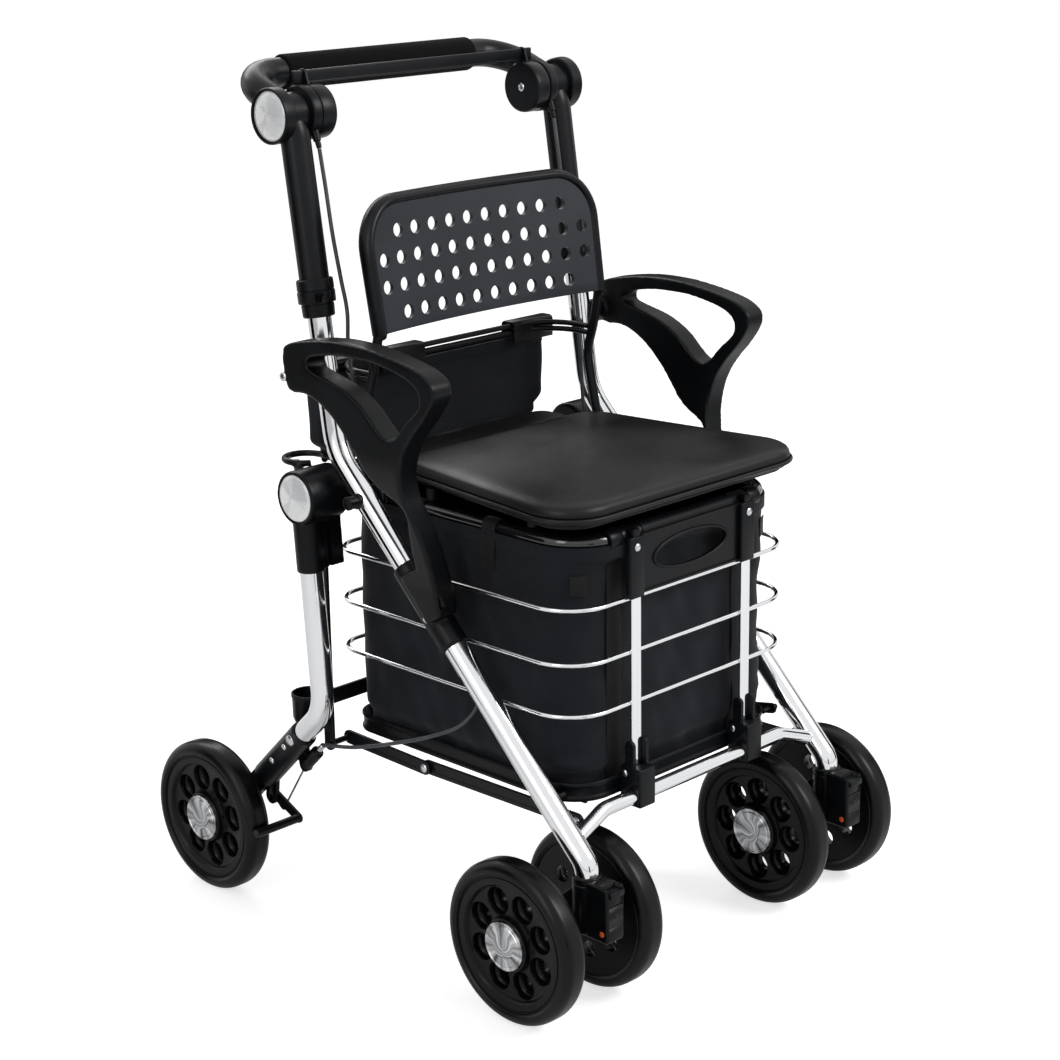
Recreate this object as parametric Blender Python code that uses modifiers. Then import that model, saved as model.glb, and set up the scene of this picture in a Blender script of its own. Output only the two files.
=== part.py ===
"""Shopping rollator: a folding walking frame on wheels with a seat, a bag and a perforated backrest.

Metres, +Z up, the floor at Z = 0. The front, with the twin casters, faces -Y.
X = 0 is the plane of symmetry.
"""

import math

import bmesh
import bpy
from mathutils import Matrix, Vector

# Running gap between pieces that touch or turn on each other.
GAP = 0.0003

# Wheels.
WHEEL_R = 0.0875
TYRE_W = 0.032
TYRE_DEPTH = 0.0150
RIM_W = 0.027
RIM_HOLES = 8
RIM_HOLE_R = 0.0128
RIM_HOLE_CIRCLE = 0.0448
HUB_R = 0.029
HUB_CAP_R = 0.0255
HUB_CAP_OUT = 0.0200
HUB_SHOULDER = 0.0165
WHEEL_STEPS = 20
AXLE_R = 0.004
REAR_TRACK_X = 0.2603
REAR_AXLE_Y = 0.242

# Casters, each with two wheels behind its swivel.
SWIVEL_X = 0.195
SWIVEL_Y = -0.287
CASTER_TRAIL = 0.045
CASTER_SPREAD = 0.0575
SWIVEL_R = 0.0155
SWIVEL_TOP = 0.1555
SWIVEL_BOTTOM = 0.094
LOCK_W = 0.021
LOCK_FRONT = -0.3265
LOCK_OUT = 0.0030
LOCK_DEEP = 0.0110
LOCK_Z = 0.1320

# Main side tubes: a straight upper stretch that leans back, and the front leg that slopes down to the caster.
LEG_R = 0.0127
LEG_X = SWIVEL_X
KNEE = Vector((0.075, 0.532))
LEAN = math.radians(8.2)
LEG_TOP_RUN = 0.305
LEG_FOOT = Vector((SWIVEL_Y, 0.1655))
KNEE_BEND_R = 0.075
FOOT_BEND_R = 0.040

# Push handle, which telescopes over the side tubes.
HANDLE_R = 0.0160
HANDLE_WALL = 0.0015
HANDLE_START_RUN = 0.1856
SHOULDER_RUN = 0.3570
HANDLE_BACK = Vector((0.212, 0.919))
HANDLE_BEND_R = 0.045
GRIP_R = 0.0190
GRIP_HALF = 0.138
COLLAR_H = 0.0400
COLLAR_R = 0.0200

# Brake housings and the squeeze bar.
LEVER_AXIS = Vector((0.134, 0.8843))
LEVER_R = 0.0295
LEVER_IN = 0.148
LEVER_SPLIT = 0.1700
LEVER_OUT = 0.2205
BRAKE_BAR = Vector((0.146, 0.9197))
BRAKE_BAR_END = 0.1763
BRAKE_BAR_H = 0.014
BRAKE_BAR_T = 0.006
LENS_T = 0.0055

# Rear legs and their fold axis.
FOLD = Vector((0.100, 0.484))
FOLD_ROD_R = 0.006
REAR_LEG_IN = 0.0383  # from the wheel's middle in to the leg's
REAR_LEG_X = REAR_TRACK_X - REAR_LEG_IN
REAR_LEG_R = 0.0127
REAR_KNEE = Vector((0.083, 0.243))
REAR_BEND_R = 0.050
SLEEVE_END_Z = 0.401
BOSS_R = 0.0300
BOSS_FACE = REAR_LEG_X + 0.0145
UPRIGHT_X = REAR_LEG_X - 0.0185
REAR_BAR_Y = 0.1035
REAR_BAR_LOW = 0.2380
REAR_BAR_HIGH = 0.2560
REAR_BAR_T = 0.0040
UPRIGHT_T = 0.0040

# Rails under the tray that break at a middle pivot when the frame folds.
RAIL_FRONT = Vector((-0.245, 0.1915))
RAIL_MID = Vector((-0.020, 0.1885))
RAIL_REAR = Vector((0.105, 0.1915))
RAIL_H = 0.016
RAIL_T = 0.0040
RAIL_X = 0.1640
RAIL_PIN_R = 0.0035

# Seat.
SEAT_FRONT = -0.262
SEAT_BACK = 0.033
REAR_PAD_HALF_W = 0.150
SEAT_HALF_W = 0.193
SEAT_HALF_BACK = 0.152
SEAT_TOP = 0.5260
SEAT_BASE = 0.5050
SEAT_BOARD_T = 0.005
SEAT_FEET_Y = (-0.170, -0.020)
SEAT_FOOT_R = 0.0065
SEAT_TUBE_R = 0.0080
SEAT_TUBE_Z = 0.4780
SEAT_TUBE_X = 0.1529
SEAT_TUBE_FRONT = -0.2400

# Backrest.
BACK_HALF_W = 0.193
BACK_BOTTOM = 0.659
BACK_TOP = BACK_BOTTOM + 0.142
BACK_CORNER = 0.028
BACK_T = 0.0090
BACK_LEAN = 0.161
BACK_MID_Y = 0.0491
BACK_MID_Z = BACK_BOTTOM + 0.0480
BACK_CURVE = 0.483
HOLE_PITCH = 0.0271
HOLE_R = 0.0072
HOLE_ROWS = ((0.0563, 10), (0.0281, 12), (0.0, 12), (-0.0287, 10))  # (height above BACK_MID_Z, holes)
BACK_POST_X = 0.1690
BACK_POST_R = 0.0075
BACK_POST_FOOT_Y = 0.0440
BACK_TUBE_R = 0.0060

# Armrests, with the corners (y, z) of their outline and of their hand hole and the radius at each.
ARM_X = 0.240
ARM_FOOT_X = 0.206
ARM_T = 0.027
ARM_BOLT_RUN = 0.091
SLEEVE_WALL = 0.0028
SLEEVE_TOP_Z = 0.427
SLEEVE_FOOT_Z = 0.353
ARM_OUTLINE = (
    ((0.097, 0.605), 0.006),
    ((0.093, 0.658), 0.012),
    ((0.045, 0.679), 0.060),
    ((-0.085, 0.686), 0.080),
    ((-0.154, 0.661), 0.030),
    ((-0.157, 0.618), 0.030),
    ((-0.106, 0.560), 0.040),
    ((-0.103, 0.480), 0.060),
    ((-0.104, 0.392), 0.008),
    ((-0.084, 0.380), 0.006),
    ((-0.046, 0.424), 0.006),
    ((-0.071, 0.458), 0.014),
    ((-0.070, 0.492), 0.010),
    ((-0.050, 0.503), 0.010),
    ((-0.018, 0.512), 0.008),
    ((-0.032, 0.552), 0.060),
    ((-0.006, 0.602), 0.040),
    ((0.050, 0.618), 0.050),
)
ARM_HOLE = (
    ((0.056, 0.636), 0.006),
    ((0.020, 0.657), 0.030),
    ((-0.060, 0.663), 0.040),
    ((-0.126, 0.641), 0.014),
    ((-0.112, 0.606), 0.020),
    ((-0.079, 0.582), 0.008),
)

# Basket of wires, its panel, the bag and the tray below them.
WIRE_R = 0.0025
WIRE_X = 0.1766
WIRE_Y = -0.2520
WIRE_BACK = 0.113
WIRE_HEIGHTS = (0.4149, 0.3568, 0.3015)
WIRE_CORNER_R = 0.050
BAR_X = 0.0865
BAR_W = 0.0140
BAR_T = 0.0030
BAR_BOTTOM = 0.2336
BAR_Y = -0.2549
BAR_TOP = 0.4790
PANEL_BOTTOM = 0.4180
PANEL_TOP = 0.4800
PANEL_HALF_W = 0.095
BAG_HALF_W = 0.168
BAG_FRONT = -0.2400
BAG_BACK = 0.1000
BAG_TOP = 0.4650
BAG_WALL = 0.0030
BAG_CORNER = 0.045
BAG_FOOT_IN = 0.0005  # the foot stands this far inside the bag's front and back
TRAY_HALF_W = 0.1640
TRAY_FRONT = -0.2440
TRAY_BACK = 0.1050
TRAY_TOP = 0.2230
TRAY_BOTTOM = 0.2020
TRAY_WALL = 0.0030
TRAY_FLOOR = 0.0025
CROSS_TUBE_R = 0.0080
CROSS_TUBE = Vector((-0.2609, 0.2019))
CROSS_BEND_X = 0.1423

# Brakes on the rear wheels.
BRAKE_PIVOT = Vector((0.1860, 0.1120))
BRAKE_EAR_X = REAR_LEG_X - 0.0040
PAD_ANGLE = math.radians(4)
ADJUSTER_X = REAR_LEG_X - 0.0130
ADJUSTER_TOP = Vector((0.1100, 0.1860))
ADJUSTER_FOOT = Vector((0.1340, 0.1620))
BRACKET_RIVETS = ((0.060, 0.0065), (0.075, 0.0035), (0.107, 0.0035))
CABLE_R = 0.0025
GLAND = Vector((0.1755, 0.1080, 0.8500))
CABLE_PLACES = (
    (0.1755, 0.1078, 0.8490),
    (0.1750, 0.1010, 0.8100),
    (0.1745, 0.0930, 0.7600),
    (0.1725, 0.0850, 0.7150),
    (0.1722, 0.0770, 0.6800),
    (0.1750, 0.0740, 0.6400),
    (0.1730, 0.0680, 0.5900),
    (0.1728, 0.0640, 0.5300),
    (0.1728, 0.0620, 0.4900),
    (0.1728, 0.0560, 0.4590),
    (0.1712, 0.0300, 0.4380),
    (0.1710, -0.0100, 0.4180),
    (0.1710, -0.0600, 0.3850),
    (0.1710, -0.1030, 0.3350),
    (0.1712, -0.1120, 0.2950),
    (0.1780, -0.0930, 0.2620),
    (0.1840, -0.0500, 0.2380),
    (0.1920, 0.0050, 0.2170),
    (ADJUSTER_X - 0.0050, 0.0500, 0.2040),
    (ADJUSTER_X, 0.0800, 0.1985),
    (ADJUSTER_X, 0.1000, 0.1945),
    (ADJUSTER_X, 0.1095, 0.1865),
)

# Umbrella holder on the left rear leg.
UMBRELLA_X = 0.0365 - REAR_LEG_X
UMBRELLA_TOP = Vector((0.141, 0.512))
UMBRELLA_FOOT = Vector((0.152, 0.190))
UMBRELLA_R = 0.0230
CUP_R = 0.0205
CUP_ARM_Z = 0.216

# Height of the bolt that holds the fold bracket to the front leg.
KNOB_Z = 0.488

# Pouch behind the seat and the rail that it hangs on.
POUCH_HALF_W = 0.165
POUCH_FRONT = 0.1165
POUCH_BACK = 0.155
POUCH_BOTTOM = 0.525
POUCH_TOP = 0.630
POUCH_WALL = 0.0030
POUCH_RAIL_R = 0.0040
POUCH_RAIL = Vector((0.1205, 0.6400))

COLLECTION = "Shopping rollator"


def clear_scene():
    for obj in list(bpy.data.objects):
        bpy.data.objects.remove(obj, do_unlink=True)


def collection(name):
    found = bpy.data.collections.get(name)
    if found is None:
        found = bpy.data.collections.new(name)
        bpy.context.scene.collection.children.link(found)
    return found


def material(name, colour, roughness, metallic=0.0):
    found = bpy.data.materials.get(name)
    if found:
        return found
    made = bpy.data.materials.new(name)
    made.use_nodes = True
    shader = made.node_tree.nodes["Principled BSDF"]
    shader.inputs["Base Color"].default_value = (*colour, 1.0)
    shader.inputs["Roughness"].default_value = roughness
    shader.inputs["Metallic"].default_value = metallic
    made.diffuse_color = (*colour, 1.0)
    return made


def chrome():
    return material("chrome", (0.80, 0.81, 0.82), 0.12, 1.0)


def black_steel():
    return material("black_steel", (0.020, 0.021, 0.023), 0.40)


def black_plastic():
    return material("black_plastic", (0.028, 0.029, 0.031), 0.50)


def rubber():
    return material("rubber", (0.016, 0.016, 0.016), 0.75)


def foam():
    return material("foam", (0.018, 0.018, 0.019), 0.90)


def leather():
    return material("leather", (0.024, 0.024, 0.026), 0.45)


def cloth():
    return material("cloth", (0.014, 0.015, 0.018), 0.85)


def lens():
    return material("lens", (0.78, 0.80, 0.82), 0.10)


def shade(mesh):
    """Smooth shading with creases kept at sharp edges."""
    for polygon in mesh.polygons:
        polygon.use_smooth = True
    mesh.set_sharp_from_angle(angle=math.radians(40))


def finish(obj, name, surface):
    """Names the object, gives it its material and puts it in the part's collection."""
    obj.name = name
    obj.data.name = name
    obj.data.materials.clear()
    obj.data.materials.append(surface)
    for home in list(obj.users_collection):
        home.objects.unlink(obj)
    collection(COLLECTION).objects.link(obj)
    if obj.type == "MESH":
        shade(obj.data)
    return obj


def helper(obj):
    """Makes an object a cutter or a piece to join: drawn as wires and left out of the part."""
    for home in list(obj.users_collection):
        home.objects.unlink(obj)
    collection("Cutters").objects.link(obj)
    obj.hide_render = True
    obj.display_type = "WIRE"
    return obj


def mesh_object(name, shape, location=(0, 0, 0)):
    data = bpy.data.meshes.new(name)
    shape.to_mesh(data)
    shape.free()
    obj = bpy.data.objects.new(name, data)
    obj.location = location
    bpy.context.scene.collection.objects.link(obj)
    return obj


def boolean(obj, other, operation):
    """Cuts, joins or intersects with a helper object."""
    if other.name not in collection("Cutters").objects:
        helper(other)
    step = obj.modifiers.new(operation.lower(), "BOOLEAN")
    step.operation = operation
    step.solver = "EXACT"
    step.object = other
    return obj


def cut(obj, *others):
    for other in others:
        boolean(obj, other, "DIFFERENCE")
    return obj


def join(obj, *others):
    for other in others:
        boolean(obj, other, "UNION")
    return obj


def box(low, high, bevel=0.0):
    """A box between two corners, in a new object, with rounded edges where bevel is given."""
    low = Vector(low)
    high = Vector(high)
    shape = bmesh.new()
    bmesh.ops.create_cube(shape, size=1.0)
    bmesh.ops.scale(shape, vec=high - low, verts=shape.verts)
    if bevel:
        bmesh.ops.bevel(
            shape, geom=shape.edges[:], offset=bevel, segments=2, profile=0.5, affect="EDGES"
        )
    return mesh_object("box", shape, (low + high) / 2)


def rod(start, end, radius, sides=16, end_radius=None):
    """A cylinder or a cone between two points."""
    start = Vector(start)
    end = Vector(end)
    shape = bmesh.new()
    bmesh.ops.create_cone(
        shape,
        cap_ends=True,
        segments=sides,
        radius1=radius,
        radius2=radius if end_radius is None else end_radius,
        depth=(end - start).length,
    )
    turn = (end - start).to_track_quat("Z", "Y").to_matrix().to_4x4()
    bmesh.ops.transform(
        shape, matrix=Matrix.Translation((start + end) / 2) @ turn, verts=shape.verts
    )
    return mesh_object("rod", shape)


def rounded_route(points, radii, step=math.radians(15)):
    """The points of a path whose inner corners are arcs of the given radii."""
    points = [Vector(point) for point in points]
    route = [points[0]]
    for before, corner, after, radius in zip(points, points[1:], points[2:], radii):
        into = (corner - before).normalized()
        out = (after - corner).normalized()
        turn = into.angle(out)
        if turn < 1e-4 or radius <= 0:
            route.append(corner)
            continue
        reach = radius * math.tan(turn / 2)
        start = corner - into * reach
        centre = start + (out - into * into.dot(out)).normalized() * radius
        count = max(2, math.ceil(turn / step))
        axis = into.cross(out).normalized()
        for index in range(count + 1):
            swing = Matrix.Rotation(turn * index / count, 3, axis)
            route.append(centre + swing @ (start - centre))
    route.append(points[-1])
    return route


def curve_tube(name, route, radius, resolution=2):
    """A round tube or wire along a route, as a curve with filled caps."""
    data = bpy.data.curves.new(name, "CURVE")
    data.dimensions = "3D"
    data.bevel_depth = radius
    data.bevel_resolution = resolution
    data.use_fill_caps = True
    spline = data.splines.new("POLY")
    spline.points.add(len(route) - 1)
    for point, place in zip(spline.points, route):
        point.co = (*place, 1.0)
    obj = bpy.data.objects.new(name, data)
    bpy.context.scene.collection.objects.link(obj)
    return obj


def flat_curve(name, outlines, thickness, edge=0.0, edge_steps=1):
    """A flat piece from closed outlines in the XY plane, the first its edge and the others its holes."""
    data = bpy.data.curves.new(name, "CURVE")
    data.dimensions = "2D"
    data.fill_mode = "BOTH"
    data.extrude = thickness / 2 - edge
    data.bevel_depth = edge
    data.bevel_resolution = edge_steps
    data.offset = -edge
    for outline in outlines:
        spline = data.splines.new("POLY")
        spline.points.add(len(outline) - 1)
        for point, place in zip(spline.points, outline):
            point.co = (place[0], place[1], 0.0, 1.0)
        spline.use_cyclic_u = True
    obj = bpy.data.objects.new(name, data)
    bpy.context.scene.collection.objects.link(obj)
    return obj


def as_mesh(obj):
    """Turns a curve object into a closed mesh object of the same name and place."""
    bpy.context.view_layer.update()
    graph = bpy.context.evaluated_depsgraph_get()
    data = bpy.data.meshes.new_from_object(obj.evaluated_get(graph))
    shape = bmesh.new()
    shape.from_mesh(data)
    bmesh.ops.remove_doubles(shape, verts=shape.verts, dist=1e-6)
    bmesh.ops.recalc_face_normals(shape, faces=shape.faces)
    shape.to_mesh(data)
    shape.free()
    made = bpy.data.objects.new(obj.name, data)
    made.matrix_world = obj.matrix_world
    name = obj.name
    bpy.data.objects.remove(obj, do_unlink=True)
    made.name = name
    bpy.context.scene.collection.objects.link(made)
    return made


def side_plate(outlines, thickness, x, edge=0.0, edge_steps=1):
    """A flat piece whose outlines are (y, z) pairs, standing in the plane X = x."""
    obj = flat_curve("plate", outlines, thickness, edge, edge_steps)
    obj.matrix_world = Matrix(((0, 0, 1, x), (1, 0, 0, 0), (0, 1, 0, 0), (0, 0, 0, 1)))
    return as_mesh(obj)


def circle(centre, radius, sides=16):
    return [
        (
            centre[0] + radius * math.cos(2 * math.pi * index / sides),
            centre[1] + radius * math.sin(2 * math.pi * index / sides),
        )
        for index in range(sides)
    ]


def capsule(start, end, radius, sides=6):
    """The outline of a flat link with round ends."""
    start = Vector(start)
    end = Vector(end)
    along = (end - start).normalized()
    heading = math.atan2(along.y, along.x)
    outline = []
    for centre, first in ((end, heading - math.pi / 2), (start, heading + math.pi / 2)):
        for index in range(sides + 1):
            angle = first + math.pi * index / sides
            outline.append((centre.x + radius * math.cos(angle), centre.y + radius * math.sin(angle)))
    return outline


def rounded_outline(corners, radii, step=math.radians(22)):
    """A closed outline with arcs at its corners, one radius for each."""
    count = len(corners)
    outline = []
    for index, corner in enumerate(corners):
        before = corners[index - 1]
        after = corners[(index + 1) % count]
        route = rounded_route(
            [(*before, 0.0), (*corner, 0.0), (*after, 0.0)], [radii[index]], step
        )
        outline += [(point.x, point.y) for point in route[1:-1]]
    return outline


def turned(name, profile, steps):
    """A turned shape about Z from (radius, height) pairs that run from its top to its bottom.

    Its facets lie square to X and Y, and each radius is the distance to the middle of a facet.
    """
    shape = bmesh.new()
    half_step = math.pi / steps
    points = [
        shape.verts.new((radius, radius * math.tan(half_step), height)) for radius, height in profile
    ]
    closed = profile[0][0] > 0
    for first, second in zip(points, points[1:]):
        shape.edges.new((first, second))
    if closed:
        shape.edges.new((points[-1], points[0]))
    obj = mesh_object(name, shape)
    screw = obj.modifiers.new("turn", "SCREW")
    screw.steps = steps
    screw.render_steps = steps
    screw.use_merge_vertices = True
    screw.merge_threshold = 0.00005
    screw.use_smooth_shade = True
    return obj


def on_axle(obj, centre, outward):
    """Lays a turned piece on an axle along X, its top facing outward, -1 for left and 1 for right."""
    obj.rotation_euler = (0, math.radians(90) * outward, 0)
    obj.location = centre
    return obj


def leg_point(run):
    """A point on the straight upper stretch of a side tube, by its distance from the knee."""
    return KNEE + Vector((math.sin(LEAN), math.cos(LEAN))) * run


def at(x, yz):
    return Vector((x, yz[0], yz[1]))


def side_name(side):
    return "left" if side < 0 else "right"


def back_y(x, z):
    """Where the middle of the backrest lies, curved round the user's back."""
    return BACK_MID_Y + BACK_LEAN * (z - BACK_MID_Z) - BACK_CURVE * x * x


def tyre(name, centre):
    half = TYRE_W / 2
    inner = WHEEL_R - TYRE_DEPTH
    crown = half * 0.55
    profile = [
        (inner, half * 0.80),
        (WHEEL_R - 0.0080, half),
        (WHEEL_R, crown * 0.7),
        (WHEEL_R, -crown * 0.7),
        (WHEEL_R - 0.0080, -half),
        (inner, -half * 0.80),
    ]
    return finish(on_axle(turned(name, profile, WHEEL_STEPS), centre, 1), name, rubber())


def rim(name, centre, outward, bore):
    """A moulded rim with a ring of round holes, a hub and a domed cap on its outer side."""
    edge = WHEEL_R - TYRE_DEPTH - GAP
    half = RIM_W / 2
    web = 0.0055
    profile = [
        (0.0, HUB_CAP_OUT),
        (HUB_CAP_R, HUB_CAP_OUT),
        (HUB_R, HUB_SHOULDER),
        (HUB_R + 0.001, web),
        (edge - 0.0100, web),
        (edge - 0.0075, half),
        (edge, half),
        (edge, -half),
        (edge - 0.0080, -half),
        (edge - 0.0080, -web),
        (HUB_R - 0.007, -web),
        (HUB_R - 0.007, -half),
        (0.0, -half),
    ]
    obj = turned(name, profile, WHEEL_STEPS)
    holes = bmesh.new()
    for index in range(RIM_HOLES):
        swing = Matrix.Rotation(2 * math.pi * (index + 0.5) / RIM_HOLES, 4, "Z")
        place = swing @ Matrix.Translation((RIM_HOLE_CIRCLE, 0, 0))
        bmesh.ops.create_cone(
            holes, cap_ends=True, segments=8, radius1=RIM_HOLE_R, radius2=RIM_HOLE_R, depth=0.05, matrix=place
        )
    bmesh.ops.create_cone(
        holes,
        cap_ends=True,
        segments=12,
        radius1=AXLE_R + GAP,
        radius2=AXLE_R + GAP,
        depth=bore,
        matrix=Matrix.Translation((0, 0, -half - 0.001 + bore / 2)),
    )
    cutter = on_axle(mesh_object(name + "_holes", holes), centre, outward)
    on_axle(obj, centre, outward)
    return finish(cut(obj, cutter), name, black_plastic())


def wheel(name, centre, outward):
    bore = 0.024
    tyre(name + "_tyre", centre)
    rim(name + "_rim", centre, outward, bore)


def leg_route(side):
    x = side * LEG_X
    return rounded_route(
        [at(x, leg_point(LEG_TOP_RUN)), at(x, KNEE), at(x, LEG_FOOT), (x, SWIVEL_Y, SWIVEL_TOP + GAP)],
        [KNEE_BEND_R, FOOT_BEND_R * 0.2],
    )


def front_leg(side):
    """The side tube with the bolt cap that holds the fold bracket."""
    name = side_name(side) + "_front_leg"
    obj = as_mesh(curve_tube(name, leg_route(side), LEG_R, 3))
    knob_y = KNEE.x - (KNEE.y - KNOB_Z) * leg_slope()
    out = side * (LEG_X + LEG_R)
    join(obj, rod((out - side * 0.006, knob_y, KNOB_Z), (out + side * 0.014, knob_y, KNOB_Z), 0.0075, 12))
    return finish(obj, name, chrome())


def leg_slope():
    """How far the front leg goes forward for each metre that it drops."""
    return (KNEE.x - LEG_FOOT.x) / (KNEE.y - LEG_FOOT.y)


def leg_y(z):
    return KNEE.x - (KNEE.y - z) * leg_slope()


def front_cross_tube():
    """The bowed tube between the front legs, its ends cut to the legs."""
    end_x = LEG_X - LEG_R * 0.6
    drop = 0.186
    route = rounded_route(
        [
            (-end_x, leg_y(drop), drop),
            (-CROSS_BEND_X, *CROSS_TUBE),
            (CROSS_BEND_X, *CROSS_TUBE),
            (end_x, leg_y(drop), drop),
        ],
        [0.030, 0.030],
    )
    obj = as_mesh(curve_tube("front_cross_tube", route, CROSS_TUBE_R, 3))
    for side in (-1, 1):
        cut(obj, as_mesh(curve_tube("leg_notch", leg_route(side), LEG_R + GAP, 4)))
    return finish(obj, "front_cross_tube", chrome())


def caster_fork(side):
    """The swivel barrel with the box of its direction lock in front and the arm back to the axle."""
    name = side_name(side) + "_caster_fork"
    x = side * SWIVEL_X
    axle_y = SWIVEL_Y + CASTER_TRAIL
    obj = rod((x, SWIVEL_Y, SWIVEL_BOTTOM), (x, SWIVEL_Y, SWIVEL_TOP), SWIVEL_R, 16)
    arm = side_plate(
        [
            rounded_outline(
                [
                    (SWIVEL_Y - 0.012, 0.100),
                    (SWIVEL_Y - 0.010, 0.140),
                    (SWIVEL_Y + 0.012, 0.142),
                    (axle_y + 0.010, 0.104),
                    (axle_y + 0.012, 0.076),
                    (axle_y - 0.012, 0.074),
                ],
                [0.004, 0.004, 0.010, 0.008, 0.009, 0.009],
            )
        ],
        0.022,
        x,
    )
    axle = rod(
        (x - CASTER_SPREAD, axle_y, WHEEL_R), (x + CASTER_SPREAD, axle_y, WHEEL_R), AXLE_R, 12
    )
    hub = CASTER_SPREAD - RIM_W / 2 - GAP
    boss = rod((x - hub, axle_y, WHEEL_R), (x + hub, axle_y, WHEEL_R), 0.011, 14)
    front = box(
        (x - 0.0130, LOCK_FRONT, 0.0935), (x + 0.0130, SWIVEL_Y - 0.0080, 0.1540), 0.004
    )
    slot = box(
        (x - LOCK_W / 2, LOCK_FRONT - 0.01, LOCK_Z), (x + LOCK_W / 2, LOCK_FRONT + LOCK_DEEP, 0.1700)
    )
    join(obj, arm, boss, axle, front)
    cut(obj, slot)
    return finish(obj, name, black_plastic())


def caster_lock(side):
    """The slider in the box that holds the caster straight ahead."""
    name = side_name(side) + "_caster_lock"
    x = side * SWIVEL_X
    half = LOCK_W / 2 - GAP
    back = LOCK_FRONT + LOCK_DEEP - GAP
    obj = box((x - half, LOCK_FRONT - LOCK_OUT, LOCK_Z + GAP), (x + half, back, 0.1500))
    step = box((x - half - 0.01, LOCK_FRONT - 0.01, LOCK_Z), (x + half + 0.01, LOCK_FRONT + 0.0010, 0.1430))
    cut(obj, step)
    return finish(obj, name, black_plastic())


def caster_wheels(side):
    name = side_name(side) + "_caster"
    for place, outward in (("outer", side), ("inner", -side)):
        centre = (side * SWIVEL_X + outward * CASTER_SPREAD, SWIVEL_Y + CASTER_TRAIL, WHEEL_R)
        wheel(f"{name}_{place}", centre, outward)


def fold_axle():
    """The rod across the frame that the rear legs turn on, with the plates that bolt it to the side tubes."""
    reach = BOSS_FACE - 0.014
    obj = rod((-reach, *FOLD), (reach, *FOLD), FOLD_ROD_R, 12)
    inner = LEG_X - LEG_R - GAP
    for side in (-1, 1):
        outline = capsule(FOLD, (leg_y(KNOB_Z), KNOB_Z), 0.013)
        plate = side_plate([outline], 0.005, side * (inner - 0.0025))
        join(obj, plate)
    return finish(obj, "fold_axle", black_steel())


def rear_leg_route(side, start):
    x = side * REAR_LEG_X
    along = (Vector((REAR_AXLE_Y, WHEEL_R)) - REAR_KNEE).normalized()
    return rounded_route(
        [at(x, start), at(x, REAR_KNEE), at(x, REAR_KNEE + along * 0.135)], [REAR_BEND_R]
    )


def rear_leg_down():
    return (REAR_KNEE - FOLD).normalized()


def rear_leg(side):
    name = side_name(side) + "_rear_leg"
    start = FOLD + rear_leg_down() * 0.036
    return finish(as_mesh(curve_tube(name, rear_leg_route(side, start), REAR_LEG_R, 3)), name, chrome())


def leg_housing(side):
    """The moulded head of a rear leg: a round boss for the reflector and a sleeve over the tube."""
    name = side_name(side) + "_leg_housing"
    inner = UPRIGHT_X - UPRIGHT_T / 2 - 0.0015
    obj = rod((side * inner, *FOLD), (side * BOSS_FACE, *FOLD), BOSS_R, 24)
    down = rear_leg_down()
    length = (FOLD.y - SLEEVE_END_Z) / -down.y
    end = FOLD + down * length
    x = side * REAR_LEG_X
    sleeve = rod(at(x, FOLD), at(x, end), REAR_LEG_R + 0.0028, 20)
    across = Vector((-down.y, down.x)) * (REAR_LEG_R - 0.001)
    web_end = FOLD + down * (length - 0.002)
    web_outer = REAR_LEG_X - 0.002
    web = side_plate(
        [[FOLD - across, FOLD + across, web_end + across, web_end - across]],
        web_outer - inner - GAP,
        side * (web_outer + inner + GAP) / 2,
    )
    join(obj, sleeve, web)
    bore = rod(at(x, FOLD + down * 0.035), at(x, end + down * 0.02), REAR_LEG_R + GAP, 20)
    axle = rod((side * 0.19, *FOLD), (side * (BOSS_FACE - 0.012), *FOLD), FOLD_ROD_R + GAP, 16)
    pocket = rod((side * (BOSS_FACE - 0.003), *FOLD), (side * (BOSS_FACE + 0.01), *FOLD), BOSS_R - 0.003, 24)
    slot_in, slot_out = sorted((side * (inner - 0.01), side * (UPRIGHT_X + UPRIGHT_T / 2 + GAP)))
    plate_slot = box(
        (slot_in, FOLD.x - 0.03, SLEEVE_END_Z - 0.02),
        (slot_out, FOLD.x + 0.03, FOLD.y - 0.036),
    )
    cut(obj, bore, axle, pocket, plate_slot)
    if side < 0:
        umbrella_ring(obj)
    return finish(obj, name, black_plastic())


def umbrella_ring(obj):
    """The open loop moulded on the left housing that keeps an umbrella or a stick upright."""
    gap = math.radians(50)
    count = 10
    route = []
    for index in range(count + 1):
        angle = math.pi * 1.5 + gap / 2 + (2 * math.pi - gap) * index / count
        route.append(
            (
                UMBRELLA_X + UMBRELLA_R * math.cos(angle) * 0.95,
                UMBRELLA_TOP.x + UMBRELLA_R * math.sin(angle),
                UMBRELLA_TOP.y,
            )
        )
    loop = as_mesh(curve_tube("loop", [Vector(place) for place in route], 0.0040, 2))
    stem = rod((-0.2150, FOLD.x + 0.012, FOLD.y + 0.012), (-0.2000, 0.137, UMBRELLA_TOP.y), 0.0050, 10)
    join(obj, stem, loop)


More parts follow.
